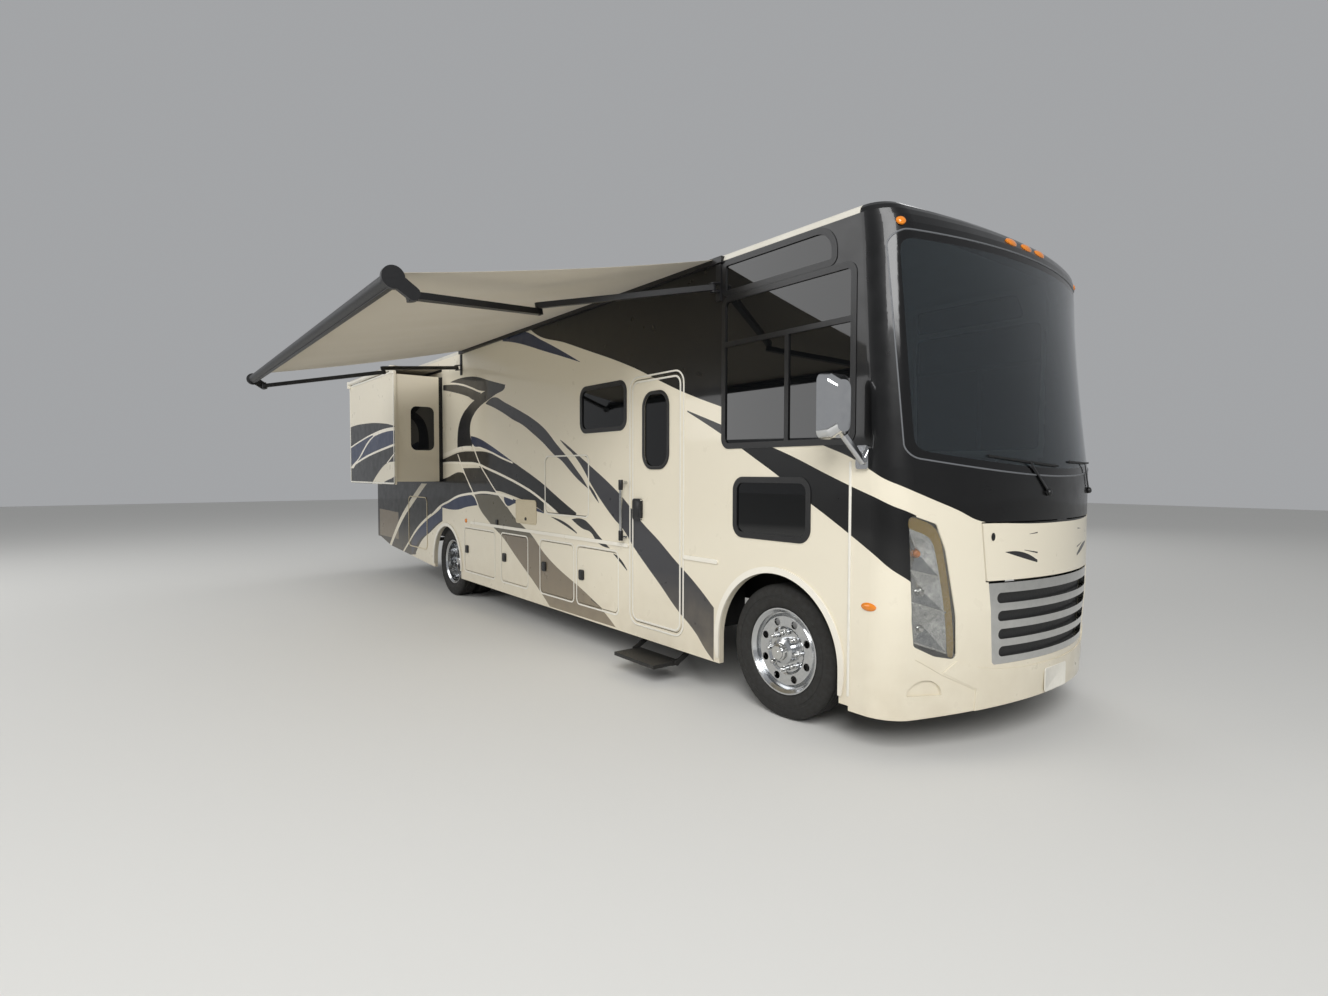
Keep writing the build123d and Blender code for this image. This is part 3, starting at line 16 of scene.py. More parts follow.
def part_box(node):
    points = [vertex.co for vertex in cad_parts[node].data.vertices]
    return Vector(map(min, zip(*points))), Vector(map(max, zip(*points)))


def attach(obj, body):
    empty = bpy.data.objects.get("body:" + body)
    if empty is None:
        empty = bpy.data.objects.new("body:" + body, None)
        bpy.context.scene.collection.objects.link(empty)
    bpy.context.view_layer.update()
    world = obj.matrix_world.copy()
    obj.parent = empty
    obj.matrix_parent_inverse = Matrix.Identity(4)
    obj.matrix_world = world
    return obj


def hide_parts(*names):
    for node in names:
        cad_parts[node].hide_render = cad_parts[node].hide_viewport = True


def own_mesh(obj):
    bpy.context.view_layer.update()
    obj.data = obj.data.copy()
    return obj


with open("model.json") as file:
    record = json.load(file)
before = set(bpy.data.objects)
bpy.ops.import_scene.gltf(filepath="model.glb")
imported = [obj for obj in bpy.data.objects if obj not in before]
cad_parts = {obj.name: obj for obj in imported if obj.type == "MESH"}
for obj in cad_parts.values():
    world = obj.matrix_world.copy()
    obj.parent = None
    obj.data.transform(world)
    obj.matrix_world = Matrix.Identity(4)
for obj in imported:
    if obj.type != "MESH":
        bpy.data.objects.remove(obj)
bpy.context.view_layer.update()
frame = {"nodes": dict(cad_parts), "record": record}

nodes = frame["nodes"]

# %% [markdown]
# ## Camera
# A phone held at eye level, close to the front corner, sees the coach with strong perspective. The
# place and aim below are fitted to the wheels and the wall's edges. A pinhole with an 18.7 mm lens on a
# 36 mm wide sensor gives the photograph's frame.

# %% Camera
EYE = Vector((6.345, -4.798, 1.716))
YAW, PITCH, ROLL = (math.radians(angle) for angle in (37.93, 2.08, -0.12))

ahead = Vector((-math.cos(YAW) * math.cos(PITCH), math.sin(YAW) * math.cos(PITCH), -math.sin(PITCH)))
right = Vector((math.sin(YAW), math.cos(YAW), 0))
down = ahead.cross(right)
right, down = (math.cos(ROLL) * right + math.sin(ROLL) * down,
               math.cos(ROLL) * down - math.sin(ROLL) * right)
bpy.ops.object.select_all(action="DESELECT")
bpy.ops.object.camera_add()
camera = bpy.context.object
camera.data.sensor_width = 36
camera.data.lens = 18.72
camera.data.clip_end = 200
camera.matrix_world = Matrix.Translation(EYE) @ Matrix((right, -down, -ahead)).transposed().to_4x4()
bpy.context.scene.camera = camera
print("camera at", tuple(round(v, 3) for v in EYE))

# %% [markdown]
# ## Colours and nodes
# Colours are written as the sRGB hex values that a paint chart gives, and turned to linear light once.
# One small function adds a node with its properties and inputs, so that a material reads as a short list.
# An input is a plain value where it is the same all over, and a link where another node drives it.

# %% Colour and node helpers


def linear(hexa):
    """Linear RGBA from an sRGB hex string."""
    channels = [int(hexa[i:i + 2], 16) / 255 for i in (0, 2, 4)]
    return (*[c / 12.92 if c <= 0.04045 else ((c + 0.055) / 1.055) ** 2.4 for c in channels], 1.0)


def fill(node, inputs):
    """Set a node's inputs to values, or link them where the value is another node's output."""
    for key, value in inputs.items():
        if isinstance(value, bpy.types.NodeSocket):
            node.id_data.links.new(value, node.inputs[key])
        else:
            node.inputs[key].default_value = value


def add(tree, kind, inputs=None, **properties):
    """Add a shader node, set its properties, fill its inputs and give its outputs."""
    node = tree.nodes.new("ShaderNode" + kind)
    for key, value in properties.items():
        setattr(node, key, value)
    fill(node, inputs or {})
    return node.outputs


def new_material(name, inputs):
    """A Principled material with the settings that are the same all over it, with its tree and its shader."""
    material = bpy.data.materials.new(name)
    material.use_nodes = True
    tree = material.node_tree
    shader = tree.nodes["Principled BSDF"]
    fill(shader, inputs)
    return material, tree, shader


def paint_over(material, axis, test, limit, hexa):
    """Paint over the part of a finished material that lies past a place on an Object axis."""
    tree = material.node_tree
    shader = tree.nodes["Principled BSDF"]
    axes = add(tree, "SeparateXYZ", {0: add(tree, "TexCoord")["Object"]})
    past = add(tree, "Math", {0: axes[axis], 1: limit}, operation=test)[0]
    under = shader.inputs["Base Color"].links[0].from_socket
    fill(shader, {"Base Color": add(tree, "Mix", {0: past, 6: under, 7: linear(hexa)}, data_type="RGBA")[2]})


# %% [markdown]
# ## Painted stripes
# A coach like this leaves the works in cream gelcoat, and the swooshes are sprayed over masking tape that
# runs across walls, doors and nose without a break. They could be an image, but a pattern in nodes needs
# no picture and stays sharp. Each stripe here is two Float Curve nodes, one for its lower edge and one for
# its upper edge, and the depth inside them decides where the colour goes. A thin line is one curve and a
# width. The run is the distance along the coach, and it turns the corners: on the nose it grows as the
# skin bends towards the middle, so one pattern wraps round.

# %% Stripe colours and shapes
HALF_W = 1.2825
PAINT = {"cream": "E2DAC6", "line": "EFE8D8", "black": "09090A", "charcoal": "232325", "slate": "36363A",
         "navy": "1C2947", "olive": "5F5A4C", "stone": "776C5C"}

BAND_LEFT = [(0.3, -0.13), (0.447, -0.37), (0.76, -0.94), (0.95, -1.28), (1.014, -1.44), (1.078, -1.6),
    (1.152, -1.75), (1.217, -1.88), (1.323, -2.02), (1.48, -2.18), (1.646, -2.37), (1.774, -2.5)]
BAND_RIGHT = [(0.3, 1.12), (0.447, 0.845), (0.835, -0.21), (1.041, -0.56), (1.12, -0.76), (1.165, -0.88),
    (1.223, -1.0), (1.343, -1.2), (1.404, -1.31), (1.513, -1.5), (1.664, -1.72), (1.81, -1.92), (2.07, -2.15)]
ARC_B = [(-3.6, 1.13), (-3.33, 1.238), (-3.0, 1.317), (-2.7, 1.39), (-2.37, 1.432), (-2.18, 1.445),
    (-1.86, 1.468), (-1.5, 1.461), (-1.24, 1.446), (-1.0, 1.414)]
BLACK_ARC_TOP = [(-3.3, 1.89), (-3.08, 1.92), (-2.6, 1.984), (-2.08, 1.986), (-1.74, 1.97), (-1.44, 1.92),
    (-1.18, 1.876), (-1.0, 1.839), (-0.76, 1.764), (-0.5, 1.679), (-0.25, 1.588), (0, 1.484), (0.25, 1.383),
    (0.42, 1.318)]
BLACK_ARC_LOW = [(-3.3, 1.85), (-3.08, 1.861), (-2.53, 1.855), (-2.0, 1.834), (-1.71, 1.78), (-1.24, 1.688),
    (-0.76, 1.579), (-0.5, 1.508), (-0.25, 1.421), (0, 1.326), (0.09, 1.29), (0.42, 1.3)]
SIDE_STRIPES = [
    # colour, coordinate along the edge, lower edge or centre line, upper edge or line width
    ("black", "run", [(-8, 0.2), (-5.9, 0.3), (-4.4, 0.45), (-3.2, 0.6)], [(-8, 1.9), (-6.5, 1.8),
     (-3.2, 1.63)]),
    ("stone", "run", [(-6.3, 0.62), (-5.25, 0.62)], [(-6.3, 1.08), (-5.25, 1.06)]),
    ("cream", "height", [(0.3, -5.98), (0.42, -5.83), (0.75, -5.45), (1.0, -5.12), (1.25, -4.7),
     (1.55, -4.12)], [(0.3, -5.82), (0.42, -5.7), (0.75, -5.31), (1.0, -4.95), (1.25, -4.48), (1.55, -3.88)]),
    ("navy", "run", [(-4.6, 0.42), (-4.2, 0.7), (-3.85, 0.82), (-3.5, 0.97), (-3.1, 1.08), (-2.75, 1.12)],
     [(-4.6, 0.62), (-4.2, 0.93), (-3.85, 1.07), (-3.5, 1.17), (-3.1, 1.24), (-2.75, 1.2)]),
    ("cream", "run", [(-4.4, 0.2), (-3.0, 0.2)], [(-4.4, 0.48), (-4.1, 0.7), (-3.75, 0.84), (-3.4, 0.98),
     (-3.0, 1.1)]),
    ("cream", "run", [(-3.25, 0.2), (-1.6, 0.2)], [(-3.25, 1.235), (-2.7, 1.215), (-2.0, 1.3), (-1.6, 1.3)]),
    ("cream", "run", [(-5.1, 0.38), (-4.75, 0.6), (-4.35, 0.84), (-3.9, 1.03), (-3.5, 1.16), (-3.3, 1.235)],
     0.045),
    ("black", "run", [(-0.9, 3.6), (-0.5, 3.25), (0.25, 3.01), (0.5, 2.93), (1.38, 2.64), (1.75, 2.49),
     (2.08, 2.36), (2.51, 2.216), (3.0, 2.07), (3.495, 1.89), (3.712, 1.807), (3.863, 1.724), (3.931, 1.689),
     (4.094, 1.637), (4.31, 1.572), (4.554, 1.501), (4.764, 1.433), (5.05, 1.414), (5.9, 1.408)], [(-0.9, 5),
     (5.9, 5)]),
    ("navy", "run", [(-1.245, 3.251), (-1.0, 3.207), (-0.7, 3.134), (-0.25, 3.005), (0.095, 2.909),
     (0.5, 2.793)], [(-1.245, 3.3), (-0.73, 3.285), (-0.26, 3.114), (0.095, 2.971), (0.5, 2.796)]),
    ("charcoal", "run", [(-3.18, 2.86), (-2.79, 2.797), (-2.3, 2.698), (-2.08, 2.638), (-1.89, 2.7)],
     [(-3.18, 2.93), (-3.03, 2.921), (-2.45, 2.852), (-2.19, 2.788), (-1.89, 2.726)]),
    ("line", "run", [(-2.9, 2.93), (-2.45, 2.86), (-2.19, 2.799), (-1.86, 2.719), (-1.5, 2.708),
     (-1.18, 2.726)], 0.024),
    ("charcoal", "run", [(-2.9, 2.94), (-2.45, 2.872), (-2.19, 2.811), (-1.86, 2.731), (-1.5, 2.72),
     (-1.18, 2.736)], [(-2.9, 2.945), (-2.62, 2.96), (-2.26, 2.949), (-2.0, 2.919), (-1.64, 2.838),
     (-1.18, 2.74)]),
    ("charcoal", "height", [(2.03, -2.67), (2.231, -2.66), (2.354, -2.61), (2.472, -2.49), (2.565, -2.3),
     (2.638, -2.08), (2.714, -1.8), (2.735, -1.3), (2.738, -1.19)], [(2.03, -2.3), (2.072, -2.17),
     (2.166, -2.22), (2.258, -2.24), (2.362, -2.21), (2.46, -2.1), (2.538, -1.93), (2.593, -1.71),
     (2.654, -1.44), (2.703, -1.2), (2.738, -1.19)]),
    ("slate", "run", [(-1.74, 2.56), (-1.44, 2.479), (-1.18, 2.393), (-1.0, 2.327), (-0.76, 2.255),
     (-0.5, 2.144), (-0.25, 2.026), (-0.11, 1.948), (0, 1.89), (0.12, 1.844), (0.28, 1.749), (0.44, 1.657),
     (0.64, 1.565)], [(-1.74, 2.57), (-1.5, 2.621), (-1.18, 2.53), (-0.76, 2.396), (-0.5, 2.304),
     (-0.24, 2.188), (-0.11, 2.108), (0, 2.03), (0.12, 1.954), (0.3, 1.838), (0.42, 1.75), (0.56, 1.646),
     (0.64, 1.569)]),
    ("slate", "run", [(0.1, 2.05), (0.21, 1.981), (0.36, 1.9), (0.53, 1.772), (0.69, 1.612), (0.9, 1.435),
     (1.09, 1.298), (1.235, 1.211), (1.41, 1.056), (1.59, 0.919), (1.785, 0.777), (1.985, 0.623),
     (2.235, 0.462), (2.37, 0.34), (2.455, 0.28)], [(0.1, 2.055), (0.21, 2.01), (0.45, 1.895), (0.69, 1.779),
     (0.99, 1.631), (1.23, 1.495), (1.52, 1.292), (1.75, 1.157), (1.985, 1.004), (2.235, 0.85),
     (2.455, 0.69)]),
    ("slate", "run", [(0.66, 1.57), (0.75, 1.49), (0.84, 1.428)], [(0.66, 1.6), (0.75, 1.535), (0.84, 1.43)]),
    ("line", "run", [(-3.3, 1.955), (-3.08, 1.97), (-2.6, 2.03), (-2.2, 2.032)], 0.05),
    ("black", "run", BLACK_ARC_LOW, BLACK_ARC_TOP),
    ("line", "run", [(x, z - 0.014) for x, z in BLACK_ARC_LOW[:-2]], 0.03),
    ("line", "run", [(-2.15, 2.06), (-1.9, 2.022), (-1.57, 1.956), (-1.31, 1.893), (-1.0, 1.83)], 0.022),
    ("navy", "run", [(-2.21, 2.16), (-2.15, 2.073), (-1.9, 2.034), (-1.57, 1.968), (-1.31, 1.905),
     (-1.0, 1.838)], [(-2.21, 2.187), (-1.93, 2.139), (-1.64, 2.056), (-1.31, 1.948), (-1.0, 1.842)]),
    ("black", "run", [(-1.95, 1.79), (-1.72, 1.664), (-1.5, 1.513), (-1.31, 1.489), (-1.0, 1.447),
     (-0.9, 1.432), (-0.6, 1.385), (-0.41, 1.34), (-0.25, 1.29)], [(-1.95, 1.8), (-1.71, 1.752),
     (-1.24, 1.66), (-0.76, 1.551), (-0.5, 1.48), (-0.25, 1.393)]),
    ("navy", "run", [(-1.24, 1.4), (-1.18, 1.337), (-0.91, 1.364), (-0.7, 1.322), (-0.47, 1.302),
     (-0.25, 1.28)], [(-1.24, 1.462), (-1.0, 1.414), (-0.76, 1.384), (-0.42, 1.335), (-0.25, 1.29)]),
    ("black", "run", [(-3.72, 1.1), *ARC_B[1:5], (-2.05, 1.45)], [(-3.72, 1.54), (-3.08, 1.643),
     (-2.5, 1.713), (-2.44, 1.69), (-2.2, 1.49), (-2.05, 1.46)]),
    ("navy", "run", [(-3.3, 1.225), (-2.7, 1.215), (-2.37, 1.265), (-2.02, 1.3)], [(-3.3, 1.23),
     (-2.75, 1.37), (-2.18, 1.42), (-2.02, 1.32)]),
    ("stone", "height", BAND_LEFT, BAND_RIGHT[:-1]),
    ("olive", "height", [(1.0, -1.4), *BAND_LEFT[4:]], [(1.0, -0.49), *BAND_RIGHT[3:-1]]),
    ("charcoal", "height", [(1.44, -2.14), *BAND_LEFT[9:]], [(1.44, -1.37), *BAND_RIGHT[9:-1]]),
    ("line", "height", [(1.3, -2.0), *BAND_LEFT[8:], (1.96, -2.66)], 0.03),
    ("line", "height", [(1.32, -1.16), *BAND_RIGHT[7:]], 0.034),
    ("line", "run", ARC_B, 0.03),
    ("charcoal", "run", [(0.33, 1.249), (0.53, 1.172), (0.69, 1.142), (0.81, 1.056), (1.02, 1.018)],
     [(0.33, 1.251), (0.56, 1.26), (0.69, 1.208), (0.84, 1.118), (1.02, 1.02)]),
    ("charcoal", "run", [(1.08, 0.972), (1.3, 0.84)], [(1.08, 0.976), (1.18, 0.945), (1.3, 0.852)]),
    ("charcoal", "run", [(-0.09, 1.25), (0.2, 1.178), (0.43, 1.112)], [(-0.09, 1.254), (0.2, 1.21),
     (0.43, 1.124)]),
    ("charcoal", "run", [(0.69, 0.49), (0.88, 0.436)], [(0.69, 0.51), (0.88, 0.444)]),
    ("black", "run", [(2.13, 2.2), (2.515, 2.013), (2.72, 1.906), (2.9, 1.808), (3.1, 1.698), (3.38, 1.523),
     (3.5, 1.455), (3.68, 1.35), (3.877, 1.229), (3.988, 1.159), (4.137, 1.091), (4.2, 1.06)], [(2.13, 2.21),
     (2.515, 2.081), (3.03, 1.9), (3.25, 1.82), (3.5, 1.717), (3.69, 1.642), (3.873, 1.575), (4.01, 1.525),
     (4.113, 1.497), (4.2, 1.47)]),
    ("charcoal", "run", [(5.018, 1.238), (5.2, 1.196), (5.37, 1.16)], [(5.018, 1.24), (5.2, 1.232),
     (5.37, 1.176)]),
    ("charcoal", "run", [(5.218, 1.243), (5.37, 1.217)], [(5.218, 1.246), (5.37, 1.227)]),
    ("charcoal", "run", [(5.271, 1.341), (5.365, 1.344)], [(5.271, 1.343), (5.365, 1.352)]),
]
SLIDE_STRIPES = [
    ("black", "run", [(-5.5, 1.5), (-3.1, 1.5)], [(-5.45, 2.433), (-5.03, 2.448), (-4.65, 2.444),
     (-4.27, 2.435), (-3.97, 2.419), (-3.7, 2.399), (-3.43, 2.373), (-3.15, 2.33)]),
    ("navy", "run", [(-5.46, 1.82), (-5.13, 1.86), (-4.65, 1.943), (-4.3, 1.99), (-3.97, 2.025),
     (-3.6, 2.058), (-3.15, 2.1)], [(-5.46, 2.11), (-4.83, 2.198), (-4.3, 2.255), (-3.97, 2.28), (-3.6, 2.29),
     (-3.15, 2.29)]),
    ("line", "run", [(-5.46, 2.11), (-4.83, 2.198), (-4.3, 2.26), (-4.1, 2.275)], 0.022),
    ("line", "height", [(1.78, -5.5), (1.84, -5.32), (1.93, -5.0), (2.06, -4.72), (2.18, -4.43), (2.25, -4.1),
     (2.275, -3.92)], [(1.78, -5.3), (1.855, -5.13), (1.97, -4.83), (2.114, -4.52), (2.223, -4.18),
     (2.25, -3.97), (2.275, -3.6)]),
    ("line", "run", [(-4.2, 2.255), (-3.97, 2.278), (-3.6, 2.298), (-3.15, 2.3)], 0.045),
    ("line", "run", [(-5.2, 1.845), (-4.65, 1.935), (-4.3, 1.98), (-3.97, 2.015), (-3.6, 2.05),
     (-3.15, 2.09)], 0.03),
    ("line", "run", [(-3.53, 1.84), (-3.15, 1.985)], 0.02),
    ("cream", "height", [(1.5, -4.37), (1.7, -3.97), (1.837, -3.55), (1.86, -3.2)], [(1.5, -3.95),
     (1.555, -3.77), (1.6, -3.57), (1.65, -3.25), (1.7, -3.1), (1.86, -3.1)]),
]
print("stripes", len(SIDE_STRIPES), "and", len(SLIDE_STRIPES))

# %% [markdown]
# ## From edges to a painted pattern
# A node group takes the run and the height and gives the colour. It lays the stripes over cream in the
# table's order, as a painter masks and sprays them one after another.

# %% Stripe node groups


def edge_curve(tree, along, points):
    """Float Curve that gives an edge's place across the stripe, in metres, from the place along it."""
    value = add(tree, "FloatCurve", {"Value": along})["Value"]
    mapping = value.node.mapping
    curve = mapping.curves[0]
    mapping.clip_min_x, mapping.clip_max_x = points[0][0], points[-1][0]
    mapping.clip_min_y, mapping.clip_max_y = -9, 9
    curve.points[0].location = points[0]
    curve.points[1].location = points[-1]
    for point in points[1:-1]:
        curve.points.new(*point)
    mapping.update()
    return value


def stripe_group(name, stripes):
    """Node group that turns a run and a height into the painted colour."""
    tree = bpy.data.node_groups.new(name, "ShaderNodeTree")
    for socket in ("Run", "Height"):
        tree.interface.new_socket(socket, in_out="INPUT", socket_type="NodeSocketFloat")
    tree.interface.new_socket("Colour", in_out="OUTPUT", socket_type="NodeSocketColor")
    given = tree.nodes.new("NodeGroupInput").outputs
    colour = linear(PAINT["cream"])
    for paint, way, low, high in stripes:
        along, across = (given["Run"], given["Height"]) if way == "run" else (given["Height"], given["Run"])
        first, last = low[0][0], low[-1][0]
        off = add(tree, "Math", {0: across, 1: edge_curve(tree, along, low)}, operation="SUBTRACT")[0]
        if isinstance(high, float):
            beside = add(tree, "Math", {0: off}, operation="ABSOLUTE")[0]
            depth = add(tree, "Math", {0: high / 2, 1: beside}, operation="SUBTRACT")[0]
        else:
            first, last = max(first, high[0][0]), min(last, high[-1][0])
            below = add(tree, "Math", {0: edge_curve(tree, along, high), 1: across}, operation="SUBTRACT")[0]
            depth = add(tree, "Math", {0: off, 1: below}, operation="MINIMUM")[0]
        begun = add(tree, "Math", {0: along, 1: first}, operation="SUBTRACT")[0]
        to_come = add(tree, "Math", {0: last, 1: along}, operation="SUBTRACT")[0]
        ends = add(tree, "Math", {0: begun, 1: to_come}, operation="MINIMUM")[0]
        within = add(tree, "Math", {0: depth, 1: ends}, operation="MINIMUM")[0]
        mask = add(tree, "Math", {0: within, 1: 0.0}, operation="GREATER_THAN")[0]
        colour = add(tree, "Mix", {0: mask, 6: colour, 7: linear(PAINT[paint])}, data_type="RGBA")[2]
    fill(tree.nodes.new("NodeGroupOutput"), {"Colour": colour})
    return tree


side_pattern = stripe_group("side stripes", SIDE_STRIPES)
slide_pattern = stripe_group("slide stripes", SLIDE_STRIPES)
print("nodes in the side pattern", len(side_pattern.nodes))

# %% [markdown]
# ## Gelcoat
# Gelcoat is polyester resin sprayed in a polished mould, with a clear coat over the stripes. It shows a
# hard gloss with a faint orange peel, a little dust low on the skirts, and plain cream where the paint
# booth doesn't reach, such as the inside of a wall. Height and distance from the outer skin come from
# Object coordinates, so the pattern stays with the panel when a door opens.

# %% Gelcoat materials
INSIDE, TRIM, DUST, SEAL = "CFC7B5", "EAE5D8", "B4A68C", "101010"
WALL_SKIN = HALF_W - 0.004
SLIDE_SKIN = 1.9465


def gelcoat(name, pattern, skin, turn, inside):
    """Clear-coated gelcoat with stripes on the outermost skin. turn is +1 on the nose, -1 on the tail."""
    material, tree, shader = new_material(name, {"Specular IOR Level": 0.25, "Coat Weight": 0.45,
                                                 "Coat Roughness": 0.05})
    place = add(tree, "TexCoord")["Object"]
    axes = add(tree, "SeparateXYZ", {0: place})
    width = add(tree, "Math", {0: axes["Y"]}, operation="ABSOLUTE")[0]
    reach = add(tree, "Math", {0: HALF_W, 1: width}, operation="SUBTRACT")[0]
    bend = add(tree, "Math", {0: reach, 1: float(turn)}, operation="MULTIPLY")[0]
    run = add(tree, "Math", {0: axes["X"], 1: bend}, operation="ADD")[0]
    stripes = add(tree, "Group", {"Run": run, "Height": axes["Z"]}, node_tree=pattern)["Colour"]
    outer = add(tree, "Math", {0: width, 1: skin}, operation="GREATER_THAN")[0]
    paint = add(tree, "Mix", {0: outer, 6: linear(inside), 7: stripes}, data_type="RGBA")[2]
    # Mouldings and wheel arch flares stand proud of the wall and are left white
    moulding = skin + 0.007 if skin else HALF_W + 0.003
    proud = add(tree, "Math", {0: width, 1: moulding}, operation="GREATER_THAN")[0]
    trimmed = add(tree, "Mix", {0: proud, 6: paint, 7: linear(TRIM)}, data_type="RGBA")[2]
    # Road dust: clumps of about 150 mm that fade out above the skirt, and dull the gloss a little everywhere
    clumps = add(tree, "TexNoise", {"Scale": 7.0, "Detail": 6.0, "Vector": place})["Fac"]
    fade = add(tree, "MapRange", {0: axes["Z"], 1: 0.9, 2: 0.25, 3: 0.0, 4: 0.5})[0]
    amount = add(tree, "Math", {0: clumps, 1: fade}, operation="MULTIPLY")[0]
    dusty = add(tree, "Mix", {0: amount, 6: trimmed, 7: linear(DUST)}, data_type="RGBA")[2]
    worn = add(tree, "MapRange", {0: clumps, 1: 0.3, 2: 0.7, 3: 0.26, 4: 0.4})[0]
    # Orange peel has 3 mm bumps; they are drawn 12 mm wide so that a highlight shows them
    peel = add(tree, "TexNoise", {"Scale": 80.0, "Detail": 2.0, "Vector": place})["Fac"]
    bump = add(tree, "Bump", {"Strength": 0.04, "Distance": 0.002, "Height": peel})[0]
    fill(shader, {"Base Color": dusty, "Roughness": worn, "Normal": bump})
    return material


finish = {
    "gelcoat_nose": gelcoat("striped gelcoat nose", side_pattern, 0.0, 1, INSIDE),
    "gelcoat_wall": gelcoat("striped gelcoat wall", side_pattern, WALL_SKIN, 1, INSIDE),
    "gelcoat_door": gelcoat("striped gelcoat door", side_pattern, WALL_SKIN, 1, INSIDE),
    "gelcoat_rear": gelcoat("striped gelcoat tail", side_pattern, 0.0, -1, INSIDE),
    "gelcoat_slide": gelcoat("striped gelcoat slide", slide_pattern, SLIDE_SKIN, 0, "D8CFBB"),
}
# The wiper seal that the room slides through leaves a black strip beside the wall
SEAL_REACH, STREET_SKIN = 0.05, HALF_W + 0.026
paint_over(finish["gelcoat_slide"], "Y", "GREATER_THAN", -HALF_W - SEAL_REACH, SEAL)
street_slide = gelcoat("striped gelcoat street slide", side_pattern, STREET_SKIN, 0, INSIDE)
print("gelcoats", len(finish) + 1)

# %% [markdown]
# ## Hard finishes
# The other hard surfaces are polished aluminium, chrome, powder coat, painted steel, rubber and moulded
# plastic. Each takes its roughness from a noise whose scale comes from a real size: brush marks, casting
# grain, dust. One function makes them all from a table, because they differ only in numbers: colour,
# second colour, metal or not, roughness low and high, the pattern's grain in metres and its bump height,
# then a stretch along the axes and a clear coat where there is one.

# %% Hard finishes from a table


def hard_finish(name, hexa, second, metallic, rough_low, rough_high, grain, height, stretch=(1, 1, 1),
                coat=0.0):
    """A material whose colour and roughness drift between two values over a grain of real size."""
    material, tree, shader = new_material(name, {"Metallic": metallic, "Coat Weight": coat,
                                                 "Coat Roughness": 0.05})
    scaled = add(tree, "Mapping", {"Scale": stretch, "Vector": add(tree, "TexCoord")["Object"]})[0]
    noise = add(tree, "TexNoise", {"Scale": 1.0 / grain, "Detail": 5.0, "Vector": scaled})["Fac"]
    tone = add(tree, "Mix", {0: noise, 6: linear(hexa), 7: linear(second)}, data_type="RGBA")[2]
    rough = add(tree, "MapRange", {0: noise, 1: 0.3, 2: 0.7, 3: rough_low, 4: rough_high})[0]
    bump = add(tree, "Bump", {"Strength": 0.5, "Distance": height, "Height": noise})[0]
    fill(shader, {"Base Color": tone, "Roughness": rough, "Normal": bump})
    return material


